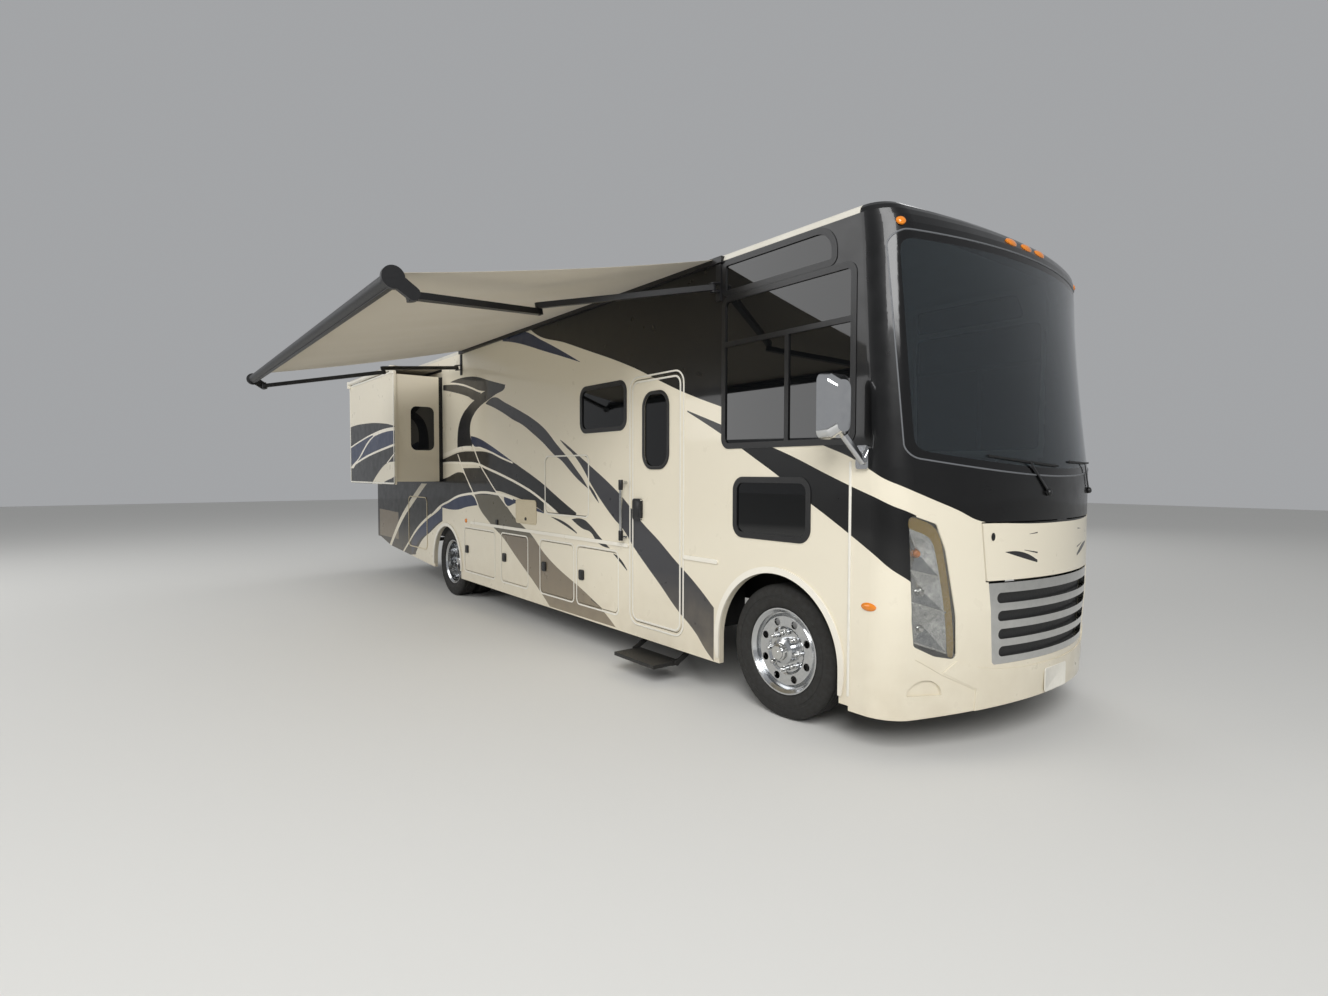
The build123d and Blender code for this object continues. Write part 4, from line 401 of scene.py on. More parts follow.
HARD = {
    # Chrome plated plastic: mirror bright, and its faint ripples keep a reflection from looking computed
    "chrome_grille": ("bright chrome", "D6D6D4", "C2C2C0", 1.0, 0.06, 0.16, 0.05, 0.0002),
    "chrome_mirror": ("chrome plated mirror", "DADADA", "C6C8CA", 1.0, 0.04, 0.12, 0.06, 0.0003),
    # Polished forged aluminium: hazier than chrome, with turning marks that draw highlights out
    "polished_rim": ("polished aluminium", "D2D3D4", "B9BBBD", 1.0, 0.1, 0.24, 0.02, 0.0001, (1, 8, 1)),
    # Powder coat: satin black whose fine stipple breaks up the highlights on window frames and awning arms
    "black_frame": ("black powder coat", "0D0D0E", "151516", 0.0, 0.3, 0.45, 0.004, 0.0001),
    "black_aluminium": ("black powder coated aluminium", "101011", "18181A", 0.0, 0.32, 0.5, 0.006, 0.0002),
    # Rubber roof membrane: chalky, and clouded by dirt in patches of 250 mm
    "roof_membrane": ("rubber roof membrane", "D5D2C8", "BDB8AA", 0.0, 0.7, 0.9, 0.25, 0.001),
    # Vinyl plank floor: long brown streaks of printed wood, seen through the open entry door
    "floor_laminate": ("vinyl plank floor", "7A5B3C", "5D432B", 0.0, 0.4, 0.6, 0.09, 0.0003, (0.15, 1, 1)),
    # Bay liner: black moulded polyethylene, so that an open compartment reads as a dark hollow
    "bay_liner": ("moulded bay liner", "262626", "303030", 0.0, 0.5, 0.7, 0.01, 0.0004),
    # Chassis, axles and tank: black enamel, dulled and browned in patches by road dirt
    "chassis_steel": ("painted chassis steel", "161616", "2C2823", 0.0, 0.45, 0.8, 0.12, 0.001),
    "axle_steel": ("painted axle steel", "181818", "2E2A24", 0.0, 0.5, 0.8, 0.08, 0.001),
    "tank_steel": ("painted tank steel", "1B1B1C", "2A2622", 0.0, 0.45, 0.7, 0.15, 0.0006),
    # Cast iron: half metallic grey with the pitted grain of a sand mould
    "engine_iron": ("cast iron", "2A2A2C", "3A3836", 0.4, 0.5, 0.75, 0.02, 0.001),
    # Step: coarse black powder coat, scuffed dull by shoes
    "step_steel": ("powder coated step", "191919", "24221F", 0.0, 0.4, 0.65, 0.01, 0.0006),
    # Dashboard and seat posts: matt vinyl moulding with a 2 mm grain
    "dash_plastic": ("grained dash vinyl", "2B2A28", "222120", 0.0, 0.5, 0.7, 0.002, 0.0004),
    # Ladder: anodised tube, a soft metal sheen with marks drawn along the uprights
    "ladder_aluminium": ("anodised ladder tube", "C4C6C8", "A9ACAE", 1.0, 0.25, 0.38, 0.01, 0.0001,
                         (1, 1, 0.1)),
    # Roof units: off-white moulded plastic, a little yellowed by the sun
    "unit_plastic": ("moulded roof plastic", "DEDCD4", "CBC8BC", 0.0, 0.45, 0.65, 0.08, 0.0005),
    # Tyre: black that is really a dark grey, brownish where dust clings, with almost no gloss
    "tyre_rubber": ("tyre rubber", "1B1B1B", "262420", 0.0, 0.65, 0.9, 0.03, 0.0004),
    # Lamp lenses: strong colour under a glossy coat, so that each has one small sharp highlight
    "amber_lens": ("amber lamp lens", "D9760C", "E68A1E", 0.0, 0.08, 0.15, 0.01, 0.0003, (1, 1, 1), 0.6),
    "red_lens": ("red lamp lens", "8E0A0C", "A81214", 0.0, 0.08, 0.15, 0.01, 0.0003, (1, 1, 1), 0.6),
    # Rubber: dull and even, black on the wiper blades and grey on the bead, which outlines the windshield
    "seal_rubber": ("black seal rubber", "0C0C0C", "141414", 0.0, 0.5, 0.7, 0.01, 0.0003),
    "window_bead": ("grey rubber bead", "6E7073", "5A5C5F", 0.0, 0.3, 0.45, 0.01, 0.0002),
    # Painted extrusions: white, a shade brighter than the cream wall, so that a door's edge shows
    "white_trim": ("white extruded trim", "E9E6DC", "DAD6CA", 0.0, 0.35, 0.5, 0.03, 0.0002),
    # Hatch mouldings: cream plastic a shade darker than the gelcoat round it
    "hatch_cream": ("cream hatch moulding", "CFC3A8", "C4B798", 0.0, 0.35, 0.5, 0.02, 0.0002),
    # Headlamp inside: bright facets, a tinted strip, and a grey bezel that sets them off. The facets' dark
    # blue-grey patches are painted reflection
    "bright_trim": ("polished lamp trim", "CFCFCC", "B6B6B2", 1.0, 0.16, 0.3, 0.02, 0.0001),
    "reflector_chrome": ("chromed lamp reflector", "F2F2F0", "70757E", 1.0, 0.03, 0.12, 0.03, 0.0015),
    "lamp_tan": ("tinted reflector strip", "B59B5A", "A88C4C", 0.0, 0.2, 0.35, 0.02, 0.0002, (1, 1, 1), 0.5),
    "lamp_inner": ("lamp bezel plastic", "8E8C86", "76746E", 0.6, 0.25, 0.4, 0.01, 0.0002),
}
for slot, row in HARD.items():
    finish[slot] = hard_finish(*row)
# The deck's sides and underside are black undercoat, which hides them in the wheel arches
DECK_EDGE, UNDERCOAT = 1.088, "121212"
paint_over(finish["floor_laminate"], "Z", "LESS_THAN", DECK_EDGE, UNDERCOAT)
print("hard finishes", len(HARD))

# %% [markdown]
# ## Glass
# Side windows are nearly black privacy glass. The windshield is laminated and tinted blue-grey, so only
# the large shapes of the cab show through, and lamp lenses are clear. One table does all three: the share
# that passes and the colour of the glass set how much comes through, and a thin film of dirt dulls them.

# %% Glass
GLASS = {"tinted_glass": ("privacy glass", "0B0C0D", 0.0),
         "windshield_glass": ("laminated windshield", "7C8A93", 0.95),
         "lamp_lens": ("clear lamp lens", "F2F2F0", 0.97)}
for slot, (name, hexa, through) in GLASS.items():
    finish[slot], tree, shader = new_material(name, {"Transmission Weight": through, "IOR": 1.5})
    place = add(tree, "TexCoord")["Object"]
    haze = add(tree, "TexNoise", {"Scale": 3.0, "Detail": 4.0, "Vector": place})["Fac"]
    film = add(tree, "MapRange", {0: haze, 1: 0.4, 2: 0.8, 3: 0.0, 4: 0.06})[0]
    darker = [c * 0.9 for c in linear(hexa)[:3]] + [1]
    tint = add(tree, "Mix", {0: haze, 6: linear(hexa), 7: darker}, data_type="RGBA")[2]
    fill(shader, {"Base Color": tint, "Roughness": film})
print("glass kinds", len(GLASS))

# %% [markdown]
# ## Black border of the windshield
# A windshield is glued in, and a black ceramic border is baked on its edge to hide the glue. The border
# follows the outline at 50 mm, so its mask is the smallest distance to the sides, the top and the arched
# foot, rounded where they meet.

# %% Windshield border
GLASS_FOOT, GLASS_CORNER, GLASS_TOP = 1.7, 1.815, 3.152
LOW_HALF, TOP_HALF, FOOT_RUN = 1.2045, 1.2405, 1.45
ROUNDING, BORDER = 0.12, 0.05
tree = finish["windshield_glass"].node_tree
axes = add(tree, "SeparateXYZ", {0: add(tree, "TexCoord")["Object"]})
width = add(tree, "Math", {0: axes["Y"]}, operation="ABSOLUTE")[0]
side_edge = add(tree, "MapRange", {0: axes["Z"], 1: GLASS_CORNER, 2: GLASS_TOP, 3: LOW_HALF, 4: TOP_HALF},
                clamp=False)[0]
squared = add(tree, "Math", {0: width, 1: 2.0}, operation="POWER")[0]
foot_edge = add(tree, "MapRange", {0: squared, 1: 0.0, 2: FOOT_RUN, 3: GLASS_FOOT, 4: GLASS_CORNER},
                clamp=False)[0]
from_side = add(tree, "Math", {0: side_edge, 1: width}, operation="SUBTRACT")[0]
from_foot = add(tree, "Math", {0: axes["Z"], 1: foot_edge}, operation="SUBTRACT")[0]
from_top = add(tree, "Math", {0: GLASS_TOP, 1: axes["Z"]}, operation="SUBTRACT")[0]
nearest = add(tree, "Math", {0: from_side, 1: from_foot, 2: ROUNDING}, operation="SMOOTH_MIN")[0]
nearest = add(tree, "Math", {0: nearest, 1: from_top, 2: ROUNDING}, operation="SMOOTH_MIN")[0]
border = add(tree, "Math", {0: nearest, 1: BORDER}, operation="LESS_THAN")[0]
ceramic = add(tree, "BsdfPrincipled", {"Base Color": linear("0A0A0B"), "Roughness": 0.12})[0]
mixed = add(tree, "MixShader", {0: border, 1: tree.nodes["Principled BSDF"].outputs[0], 2: ceramic})[0]
fill(tree.nodes["Material Output"], {"Surface": mixed})
print("border", BORDER, "m wide")

# %% [markdown]
# ## Cloth and leather
# The awning is woven acrylic: two sets of threads crossing at right angles, dull, with faint stains. The
# seats are brown leather with a pebbled grain. The weave is two waves that cross, made of 1 mm threads
# drawn 12 mm wide so that they show. Leather is a Voronoi pattern of 4 mm cells.

# %% Cloth and leather
THREAD, PEBBLE = 0.012, 0.004
# A wave texture at scale 1 repeats every 0.314 m
WAVE_STEP = 0.314

finish["awning_cloth"], tree, shader = new_material("woven acrylic", {"Sheen Weight": 0.25, "Roughness": 0.9})
place = add(tree, "TexCoord")["Object"]
threads = {"Scale": WAVE_STEP / THREAD, "Vector": place}
warp, weft = (add(tree, "TexWave", threads, bands_direction=axis)["Fac"] for axis in ("X", "Y"))
weave = add(tree, "Math", {0: warp, 1: weft}, operation="MULTIPLY")[0]
stains = add(tree, "TexNoise", {"Scale": 1.2, "Detail": 5.0, "Vector": place})["Fac"]
tone = add(tree, "Mix", {0: stains, 6: linear("D3CAB8"), 7: linear("C4BAA6")}, data_type="RGBA")[2]
bump = add(tree, "Bump", {"Strength": 0.25, "Distance": 0.001, "Height": weave})[0]
fill(shader, {"Base Color": tone, "Normal": bump})

finish["seat_leather"], tree, shader = new_material("brown leather", {"Sheen Weight": 0.1})
place = add(tree, "TexCoord")["Object"]
pebbles = add(tree, "TexVoronoi", {"Scale": 1 / PEBBLE, "Vector": place})["Distance"]
wear = add(tree, "TexNoise", {"Scale": 9.0, "Detail": 4.0, "Vector": place})["Fac"]
tone = add(tree, "Mix", {0: wear, 6: linear("5B4534"), 7: linear("6E5744")}, data_type="RGBA")[2]
rough = add(tree, "MapRange", {0: wear, 3: 0.4, 4: 0.6})[0]
bump = add(tree, "Bump", {"Strength": 0.3, "Distance": 0.001, "Height": pebbles})[0]
fill(shader, {"Base Color": tone, "Roughness": rough, "Normal": bump})
print("finishes", len(finish) + 1)

# %% [markdown]
# ## Dress the solids
# Every solid gets the finish that the model's own record names for it. The street slide room closes
# almost flush with its wall and carries that wall's stripes, so it has a gelcoat of its own.

# %% Dress the CAD nodes
slots = {s["node"]: s["material_slot"] for s in frame["record"]["subparts"]}
for name, piece in nodes.items():
    piece.data.materials.clear()
    piece.data.materials.append(street_slide if name == "slide_room_street" else finish[slots[name]])
print("dressed", len(nodes), "nodes")

# %% [markdown]
# ## Modelling helpers
# New pieces start as primitives and are shaped in edit mode, as by hand. The helpers below do what every
# piece needs: start with nothing else selected and with its place in its mesh, select parts by where they
# are, put the vertices of a sheet where a rule says, apply a modifier, and hand the piece to its body.


def object_mode():
    """Leave edit mode if it is on."""
    if bpy.context.mode != "OBJECT":
        bpy.ops.object.mode_set(mode="OBJECT")


def start(kind, scale=(1, 1, 1), **place):
    """Add a primitive with nothing else selected, put its place in its mesh and go to edit mode."""
    object_mode()
    bpy.ops.object.select_all(action="DESELECT")
    getattr(bpy.ops.mesh, "primitive_" + kind + "_add")(**place)
    bpy.context.object.scale = scale
    bpy.ops.object.transform_apply(location=True, rotation=True, scale=True)
    bpy.ops.object.mode_set(mode="EDIT")
    bpy.ops.mesh.select_mode(type="VERT")
    return bpy.context.object


def choose(piece, kind, test):
    """Select only the faces, edges or vertices that pass a test of their middle and their normal."""
    bpy.ops.mesh.select_mode(type=kind)
    bpy.ops.mesh.select_all(action="DESELECT")
    mesh = bmesh.from_edit_mesh(piece.data)
    for part in {"FACE": mesh.faces, "EDGE": mesh.edges, "VERT": mesh.verts}[kind]:
        corners = [part.co] if kind == "VERT" else [v.co for v in part.verts]
        if test(sum(corners, Vector()) / len(corners), None if kind == "EDGE" else part.normal):
            part.select_set(True)
    bmesh.update_edit_mesh(piece.data)


def push_in(thickness, move=(0, 0, 0)):
    """Inset the selected faces and move what is left of them."""
    bpy.ops.mesh.inset(thickness=thickness)
    bpy.ops.transform.translate(value=move)


def lay_out(piece, rule):
    """Move the vertices of a flat 2 m sheet to rule(u, v), with u and v from 0 to 1 across it."""
    object_mode()
    for vertex in piece.data.vertices:
        vertex.co = rule((vertex.co.x + 1) / 2, (vertex.co.y + 1) / 2)
    return piece


def sheet(columns, rows, rule):
    """A grid that is laid out by a rule."""
    return lay_out(start("grid", x_subdivisions=columns, y_subdivisions=rows, size=2), rule)


def modify(piece, kind, **settings):
    """Add a modifier, set it and apply it."""
    object_mode()
    modifier = piece.modifiers.new(kind, kind)
    for key, value in settings.items():
        setattr(modifier, key, value)
    bpy.context.view_layer.objects.active = piece
    bpy.ops.object.modifier_apply(modifier=kind)


def soften(piece, width, segments=2):
    """Round a piece's edges, as on anything that is moulded, cast or extruded."""
    modify(piece, "BEVEL", width=width, segments=segments, limit_method="ANGLE")


def hand_over(piece, name, slot, body="coach", smooth=35):
    """Name a finished piece, give it its finish and let it ride on its body."""
    object_mode()
    piece.name = name
    piece.data.materials.clear()
    piece.data.materials.append(finish[slot])
    bpy.ops.object.select_all(action="DESELECT")
    piece.select_set(True)
    bpy.context.view_layer.objects.active = piece
    bpy.ops.object.shade_smooth_by_angle(angle=math.radians(smooth))
    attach(piece, body)
    return piece


def copy_of(piece, name, body="coach", move=(0, 0, 0), mirror=False):
    """A copy with its own mesh, moved, or mirrored to the other side of the coach first."""
    twin = piece.copy()
    twin.data = piece.data.copy()
    bpy.context.collection.objects.link(twin)
    twin.parent = None
    change = Matrix.Translation(move)
    if mirror:
        change = change @ Matrix.Scale(-1, 4, (0, 1, 0))
    twin.data.transform(change)
    if mirror:
        twin.data.flip_normals()
    twin.matrix_world = Matrix.Identity(4)
    twin.name = name
    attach(twin, body)
    return twin


# %% [markdown]
# ## Frames round openings
# Doors, hatches and windows sit in extruded frames that are bent round the opening. A frame starts as a
# flat plane in the opening's size. Bevelling its corners gives the radius, an inset gives the width, the
# middle is deleted, and Solidify and Bevel give it an extrusion's thickness and soft edges.

# %% Frames


def frame_piece(name, x0, x1, z0, z1, corner, width, depth, y, body, slot):
    """Extruded frame on the wall at y, between two places along the coach and two heights."""
    side = 1 if y > 0 else -1
    piece = start("plane", size=1, location=((x0 + x1) / 2, y, (z0 + z1) / 2),
                  rotation=(-side * math.pi / 2, 0, 0), scale=(x1 - x0, z1 - z0, 1))
    bpy.ops.mesh.select_all(action="SELECT")
    bpy.ops.mesh.bevel(offset=corner, affect="VERTICES", segments=8)
    bpy.ops.mesh.select_all(action="SELECT")
    bpy.ops.mesh.inset(thickness=width)
    bpy.ops.mesh.delete(type="FACE")
    modify(piece, "SOLIDIFY", thickness=depth, offset=1)
    soften(piece, depth * 0.3)
    return hand_over(piece, name, slot, body)


FACE, SLIDE_FACE = -HALF_W - 0.0005, -SLIDE_SKIN - 0.004
FRAMES = [
    # name, x0, x1, z0, z1, corner, width, depth, y, body, finish
    ("entry_frame", 1.342, 2.098, 0.382, 2.548, 0.115, 0.014, 0.006, FACE, "coach", "white_trim"),
    ("entry_leaf_trim", 1.383, 2.057, 0.423, 2.507, 0.08, 0.016, 0.005, FACE, "entry_door", "white_trim"),
    ("entry_glass_trim", 1.535, 1.905, 1.745, 2.405, 0.135, 0.03, 0.009, FACE, "entry_door", "black_frame"),
    ("tv_frame", -0.224, 0.664, 1.276, 1.894, 0.07, 0.015, 0.005, FACE, "coach", "white_trim"),
    ("utility_frame", -0.915, -0.419, 1.144, 1.415, 0.04, 0.016, 0.008, FACE, "coach", "hatch_cream"),
    ("rear_hatch_frame", -4.72, -3.87, 0.56, 1.35, 0.09, 0.016, 0.006, FACE, "coach", "hatch_cream"),
    ("slide_flange", -5.455, -3.185, 1.555, 3.075, 0.03, 0.022, 0.006, SLIDE_FACE, "slide_room_curb",
     "white_trim"),
]
for row in FRAMES:
    frame_piece(*row)
print("frames", len(FRAMES))

# %% [markdown]
# ## Utility hatch
# A small service hatch with a raised lid and a thumb latch sits between the baggage doors and the stripes.
# A thin block is inset and its face pushed in, which leaves the rim that such mouldings have. The latch is
# a short cylinder with the same rim.

# %% Utility hatch
HATCH_X = -0.667
hatch = start("cube", size=1, location=(HATCH_X, -HALF_W - 0.004, 1.2795), scale=(0.464, 0.007, 0.239))
choose(hatch, "FACE", lambda middle, normal: middle.y < -HALF_W - 0.007)
push_in(0.02, (0, 0.002, 0))
soften(hatch, 0.0015)
hand_over(hatch, "utility_hatch", "hatch_cream")
latch = start("cylinder", vertices=32, radius=0.018, depth=0.008, location=(HATCH_X, -HALF_W - 0.009, 1.2),
              rotation=(math.pi / 2, 0, 0))
choose(latch, "FACE", lambda middle, normal: middle.y < -HALF_W - 0.0125)
push_in(0.004, (0, 0.003, 0))
soften(latch, 0.001)
hand_over(latch, "utility_latch", "black_frame")
print("hatch faces", len(hatch.data.polygons))

# %% [markdown]
# ## Turned pieces
# Tyres, hub caps, lug nut covers, bulbs and small lamps are round, so each is a line of points spun about its
# axle. The line is drawn by extruding one vertex from point to point, and Spin turns it into a surface.
# One tyre is turned, with its five grooves and its bulging walls, and copied to the other five places.

# %% Turned pieces
AXLE_X, WHEEL_Y, WHEEL_Z = 3.0735, 1.1, 0.47
INNER_Y = 0.83


def spun(profile, centre, axis, steps, closed=False):
    """Surface turned from (distance along the axis, radius) points about an axis through a centre."""
    centre, axis = Vector(centre), Vector(axis).normalized()
    out = axis.orthogonal().normalized()
    spots = [centre + axis * along + out * radius for along, radius in profile]
    if closed:
        spots.append(spots[0])
    piece = start("plane", size=0.001, location=spots[0])
    bpy.ops.mesh.select_all(action="SELECT")
    bpy.ops.mesh.merge(type="CENTER")
    for here, there in zip(spots, spots[1:]):
        bpy.ops.mesh.extrude_region_move(TRANSFORM_OT_translate={"value": there - here})
    bpy.ops.mesh.select_all(action="SELECT")
    bpy.ops.mesh.spin(steps=steps, angle=2 * math.pi, center=centre, axis=axis)
    bpy.ops.mesh.select_all(action="SELECT")
    bpy.ops.mesh.remove_doubles(threshold=0.00005)
    bpy.ops.mesh.normals_make_consistent(inside=False)
    object_mode()
    return piece


TYRE_LIP = [(0.083, 0.288), (0.084, 0.303), (0.1, 0.312), (0.1105, 0.33), (0.1125, 0.345),
            (0.1165, 0.36), (0.1165, 0.372), (0.1135, 0.374), (0.1135, 0.392), (0.1165, 0.394),
            (0.1145, 0.42), (0.108, 0.441), (0.1015, 0.4545), (0.094, 0.463), (0.083, 0.4688),
            (0.076, 0.4692), (0.075, 0.459), (0.067, 0.459), (0.066, 0.4694), (0.041, 0.4698),
            (0.04, 0.459), (0.031, 0.459), (0.03, 0.47), (0.005, 0.47), (0.004, 0.459)]
tyre_line = TYRE_LIP + [(-a, r) for a, r in reversed(TYRE_LIP)]
tyre = spun(tyre_line, (AXLE_X, -WHEEL_Y, WHEEL_Z), (0, 1, 0), 96, closed=True)
hand_over(tyre, "tyre_front_right", "tyre_rubber", "front_wheel_right", smooth=28)
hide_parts("front_tyre_right")
twin = copy_of(tyre, "tyre_front_left", "front_wheel_left", (0, 2 * WHEEL_Y, 0))
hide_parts("front_tyre_left")
for side, word in ((-1, "right"), (1, "left")):
    for y, rank in ((WHEEL_Y, "outer"), (INNER_Y, "inner")):
        twin = copy_of(tyre, "tyre_rear_" + rank + "_" + word, "rear_wheels_" + word,
                       (-2 * AXLE_X, side * y + WHEEL_Y, 0))
        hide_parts("rear_tyres_" + word)
print("tyre triangles", len(tyre.data.polygons) * 2)

# %% [markdown]
# ## Lug nut covers and hubs
# Eight chrome covers like bullets hide the lug nuts, and a stepped chrome cap hides the hub. One cover is
# turned at each nut and joined with the cap, then the whole set is mirrored to the other side's wheel.

# %% Lug nut covers and hub caps
COVER = [(0.0, 0.0205), (0.012, 0.0205), (0.014, 0.0165), (0.034, 0.0155), (0.041, 0.0125), (0.045, 0.007),
         (0.0465, 0.0)]
HUB = [(0.0, 0.066), (0.006, 0.066), (0.008, 0.061), (0.03, 0.059), (0.034, 0.052), (0.036, 0.05),
       (0.045, 0.049), (0.049, 0.044), (0.05, 0.02), (0.053, 0.018), (0.054, 0.0)]
NUTS, NUT_CIRCLE = 8, 0.128
# place, body, axle, then how far the faces under the nuts and under the cap stand out from the wheel's middle
HUB_SEATS = [("front", "front_wheel_", AXLE_X, 0.066, 0.106),
             ("rear", "rear_wheels_", -AXLE_X, -0.094, -0.022)]
for rank, wheel, x, nut_face, hub_face in HUB_SEATS:
    covers = []
    for i in range(NUTS):
        angle = math.radians(360 / NUTS * i)
        spot = (x + NUT_CIRCLE * math.cos(angle), -WHEEL_Y - nut_face, WHEEL_Z + NUT_CIRCLE * math.sin(angle))
        covers.append(spun(COVER, spot, (0, -1, 0), 16))
    covers.append(spun(HUB, (x, -WHEEL_Y - hub_face, WHEEL_Z), (0, -1, 0), 40))
    bpy.ops.object.select_all(action="DESELECT")
    for cover in covers:
        cover.select_set(True)
    bpy.context.view_layer.objects.active = covers[0]
    bpy.ops.object.join()
    right_set = hand_over(covers[0], "nut_covers_" + rank + "_right", "chrome_grille", wheel + "right")
    copy_of(right_set, "nut_covers_" + rank + "_left", wheel + "left", mirror=True)
print("hub sets", 2 * len(HUB_SEATS))

# %% [markdown]
# ## Awning cloth and slide topper
# The awning is one sheet of acrylic from a rail on the roof's edge to a roller, and the topper is a small
# one over the slide-out room. Stretched cloth still hangs in a shallow curve between its two edges, so a
# finely divided grid is lowered most in the middle and between its held edges. A simulation would give
# the same curve more slowly.

# %% Cloths
CLOTH_RAIL = Vector((0, -1.309, 3.306))
CLOTH_END = Vector((0, -3.668, 2.7925))
CLOTH_HALF_W = 2.45
CLOTH_SAG = 0.03


def hung_sheet(name, half_x, middle_x, rail, end, sag, ripple):
    """Cloth between a rail and an edge, lowered in the middle and lightly rippled along its length."""
    def hang(u, v):
        """Point u of the way along the sheet and v of the way from the rail to the edge."""
        along = 2 * u - 1
        spot = rail.lerp(end, v)
        drop = sag * 4 * v * (1 - v) * (0.75 + 0.25 * math.cos(math.pi * along / 2))
        wave = ripple * math.sin(9 * math.pi * along) * math.sin(math.pi * v) ** 2
        return (middle_x + half_x * along, spot.y, spot.z - drop + wave)

    piece = sheet(120, 48, hang)
    modify(piece, "SOLIDIFY", thickness=0.0012, offset=0)
    return hand_over(piece, name, "awning_cloth", smooth=60)


awning = hung_sheet("awning_cloth", CLOTH_HALF_W, 0.0, CLOTH_RAIL, CLOTH_END, CLOTH_SAG, 0.004)
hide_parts("awning_fabric")
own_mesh(awning)
topper_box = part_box("topper_fabric")
TOPPER_Z = topper_box[1][2] + 0.005
topper = hung_sheet("topper_cloth", 1.06, -4.32, Vector((0, -1.291, TOPPER_Z)),
                    Vector((0, -1.9625, TOPPER_Z)), 0.004, 0.001)
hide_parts("topper_fabric")
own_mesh(topper)
print("cloth run", round((CLOTH_END - CLOTH_RAIL).length, 3))

# %% [markdown]
# ## Places on the nose
# The nose bends both ways, so a lamp or a bead that lies on it can't be placed by numbers alone. A ray
# sent back from in front of the coach finds the skin of a CAD piece at any width and height. Some pieces
# also start from a copy of a CAD piece's front skin, because that already has the right bend.

# %% Helpers for the nose


def on_nose(node, y, z, depth=0.0):
    """Point on a CAD piece's front skin, or beside it on the nose, sunk straight back by a depth."""
    found, spot = nodes[node].ray_cast((8, y, z), (-1, 0, 0))[:2]
    if not found:
        spot = nodes["front_cap"].ray_cast((8, y, z), (-1, 0, 0))[1]
        depth += 0.006
    return Vector((spot.x - depth, y, z))


def between(points, z):
    """Straight interpolation in a list of (z, value)."""
    for (z0, a), (z1, b) in zip(points, points[1:]):
        if z <= z1:
            return a + (b - a) * max(z - z0, 0) / (z1 - z0)
    return points[-1][1]


def part_of(node, test):
    """Merged copy of a CAD piece that keeps only the faces that pass a test."""
    object_mode()
    bpy.ops.object.select_all(action="DESELECT")
    piece = bpy.data.objects.new(node + "_part", nodes[node].data.copy())
    bpy.context.collection.objects.link(piece)
    piece.select_set(True)
    bpy.context.view_layer.objects.active = piece
    bpy.ops.object.mode_set(mode="EDIT")
    bpy.ops.mesh.select_all(action="SELECT")
    bpy.ops.mesh.remove_doubles(threshold=0.0001)
    choose(piece, "FACE", lambda middle, normal: not test(middle, normal))
    bpy.ops.mesh.delete(type="FACE")
    return piece


def bar(a, b, width, thick, out):
    """Block from one point to another with its flat side turned to a direction, left in edit mode."""
    a, b = Vector(a), Vector(b)
    along = (b - a).normalized()
    side = along.cross(Vector(out)).normalized()
    piece = start("cube", size=1)
    bpy.ops.object.mode_set(mode="OBJECT")
    turn = Matrix((along * (b - a).length, side * width, side.cross(along) * thick)).transposed().to_4x4()
    piece.data.transform(Matrix.Translation((a + b) / 2) @ turn)
    bpy.ops.object.mode_set(mode="EDIT")
    bpy.ops.mesh.select_all(action="SELECT")
    bpy.ops.mesh.normals_make_consistent(inside=False)
    return piece


# %% [markdown]
# ## Headlamps
# Each headlamp is a tall clear lens over three chromed reflector cells with slanting bright fins between
# them, and a tan strip runs down beside the cells and over their top. The CAD lens is one solid block, so
# it is replaced by its front skin as a 3 mm lens and by its back and sides as a housing. A reflector cell
# is a plane poked and pulled back in the middle, which gives the four creased facets that catch the light.
# The right lamp is modelled, and every piece of it is mirrored for the left one.

# %% Headlamp outline
LAMP_OUT = [(0.6, 1.14), (0.69, 1.146), (0.85, 1.166), (1.478, 1.192)]
LAMP_IN = [(0.6, 0.894), (0.852, 0.914), (1.262, 0.985), (1.418, 1.04), (1.478, 1.16)]
FIN_HEIGHTS = [(0.715, 0.64), (0.956, 0.888), (1.145, 1.1), (1.405, 1.35)]
STRIP_OUT = [(0.9, 0.606), (0.92, 0.852), (0.991, 1.262), (1.012, 1.345), (1.045, 1.41), (1.11, 1.441),
             (1.184, 1.469)]
STRIP_IN = [(0.944, 0.622), (0.962, 0.852), (1.032, 1.255), (1.05, 1.31), (1.074, 1.345), (1.12, 1.37),
            (1.18, 1.39)]
# Gaps beside the lamp's outer and inner edge
CELL_GAPS, FIN_GAPS, LENS_GAPS = (0.014, 0.046), (0.012, 0.044), (0.007, 0.007)
lamp_parts = []


def in_lamp(u, z, gaps, depth, lift=0.0):
    """Point in the right lamp, u of the way from its outer to its inner edge, with a gap at each."""
    outer, inner = between(LAMP_OUT, z) - gaps[0], between(LAMP_IN, z) + gaps[1]
    return on_nose("headlamps", -(outer + (inner - outer) * u), z + lift, depth)


print("lamp height", round(LAMP_OUT[-1][0] - LAMP_OUT[0][0], 3))

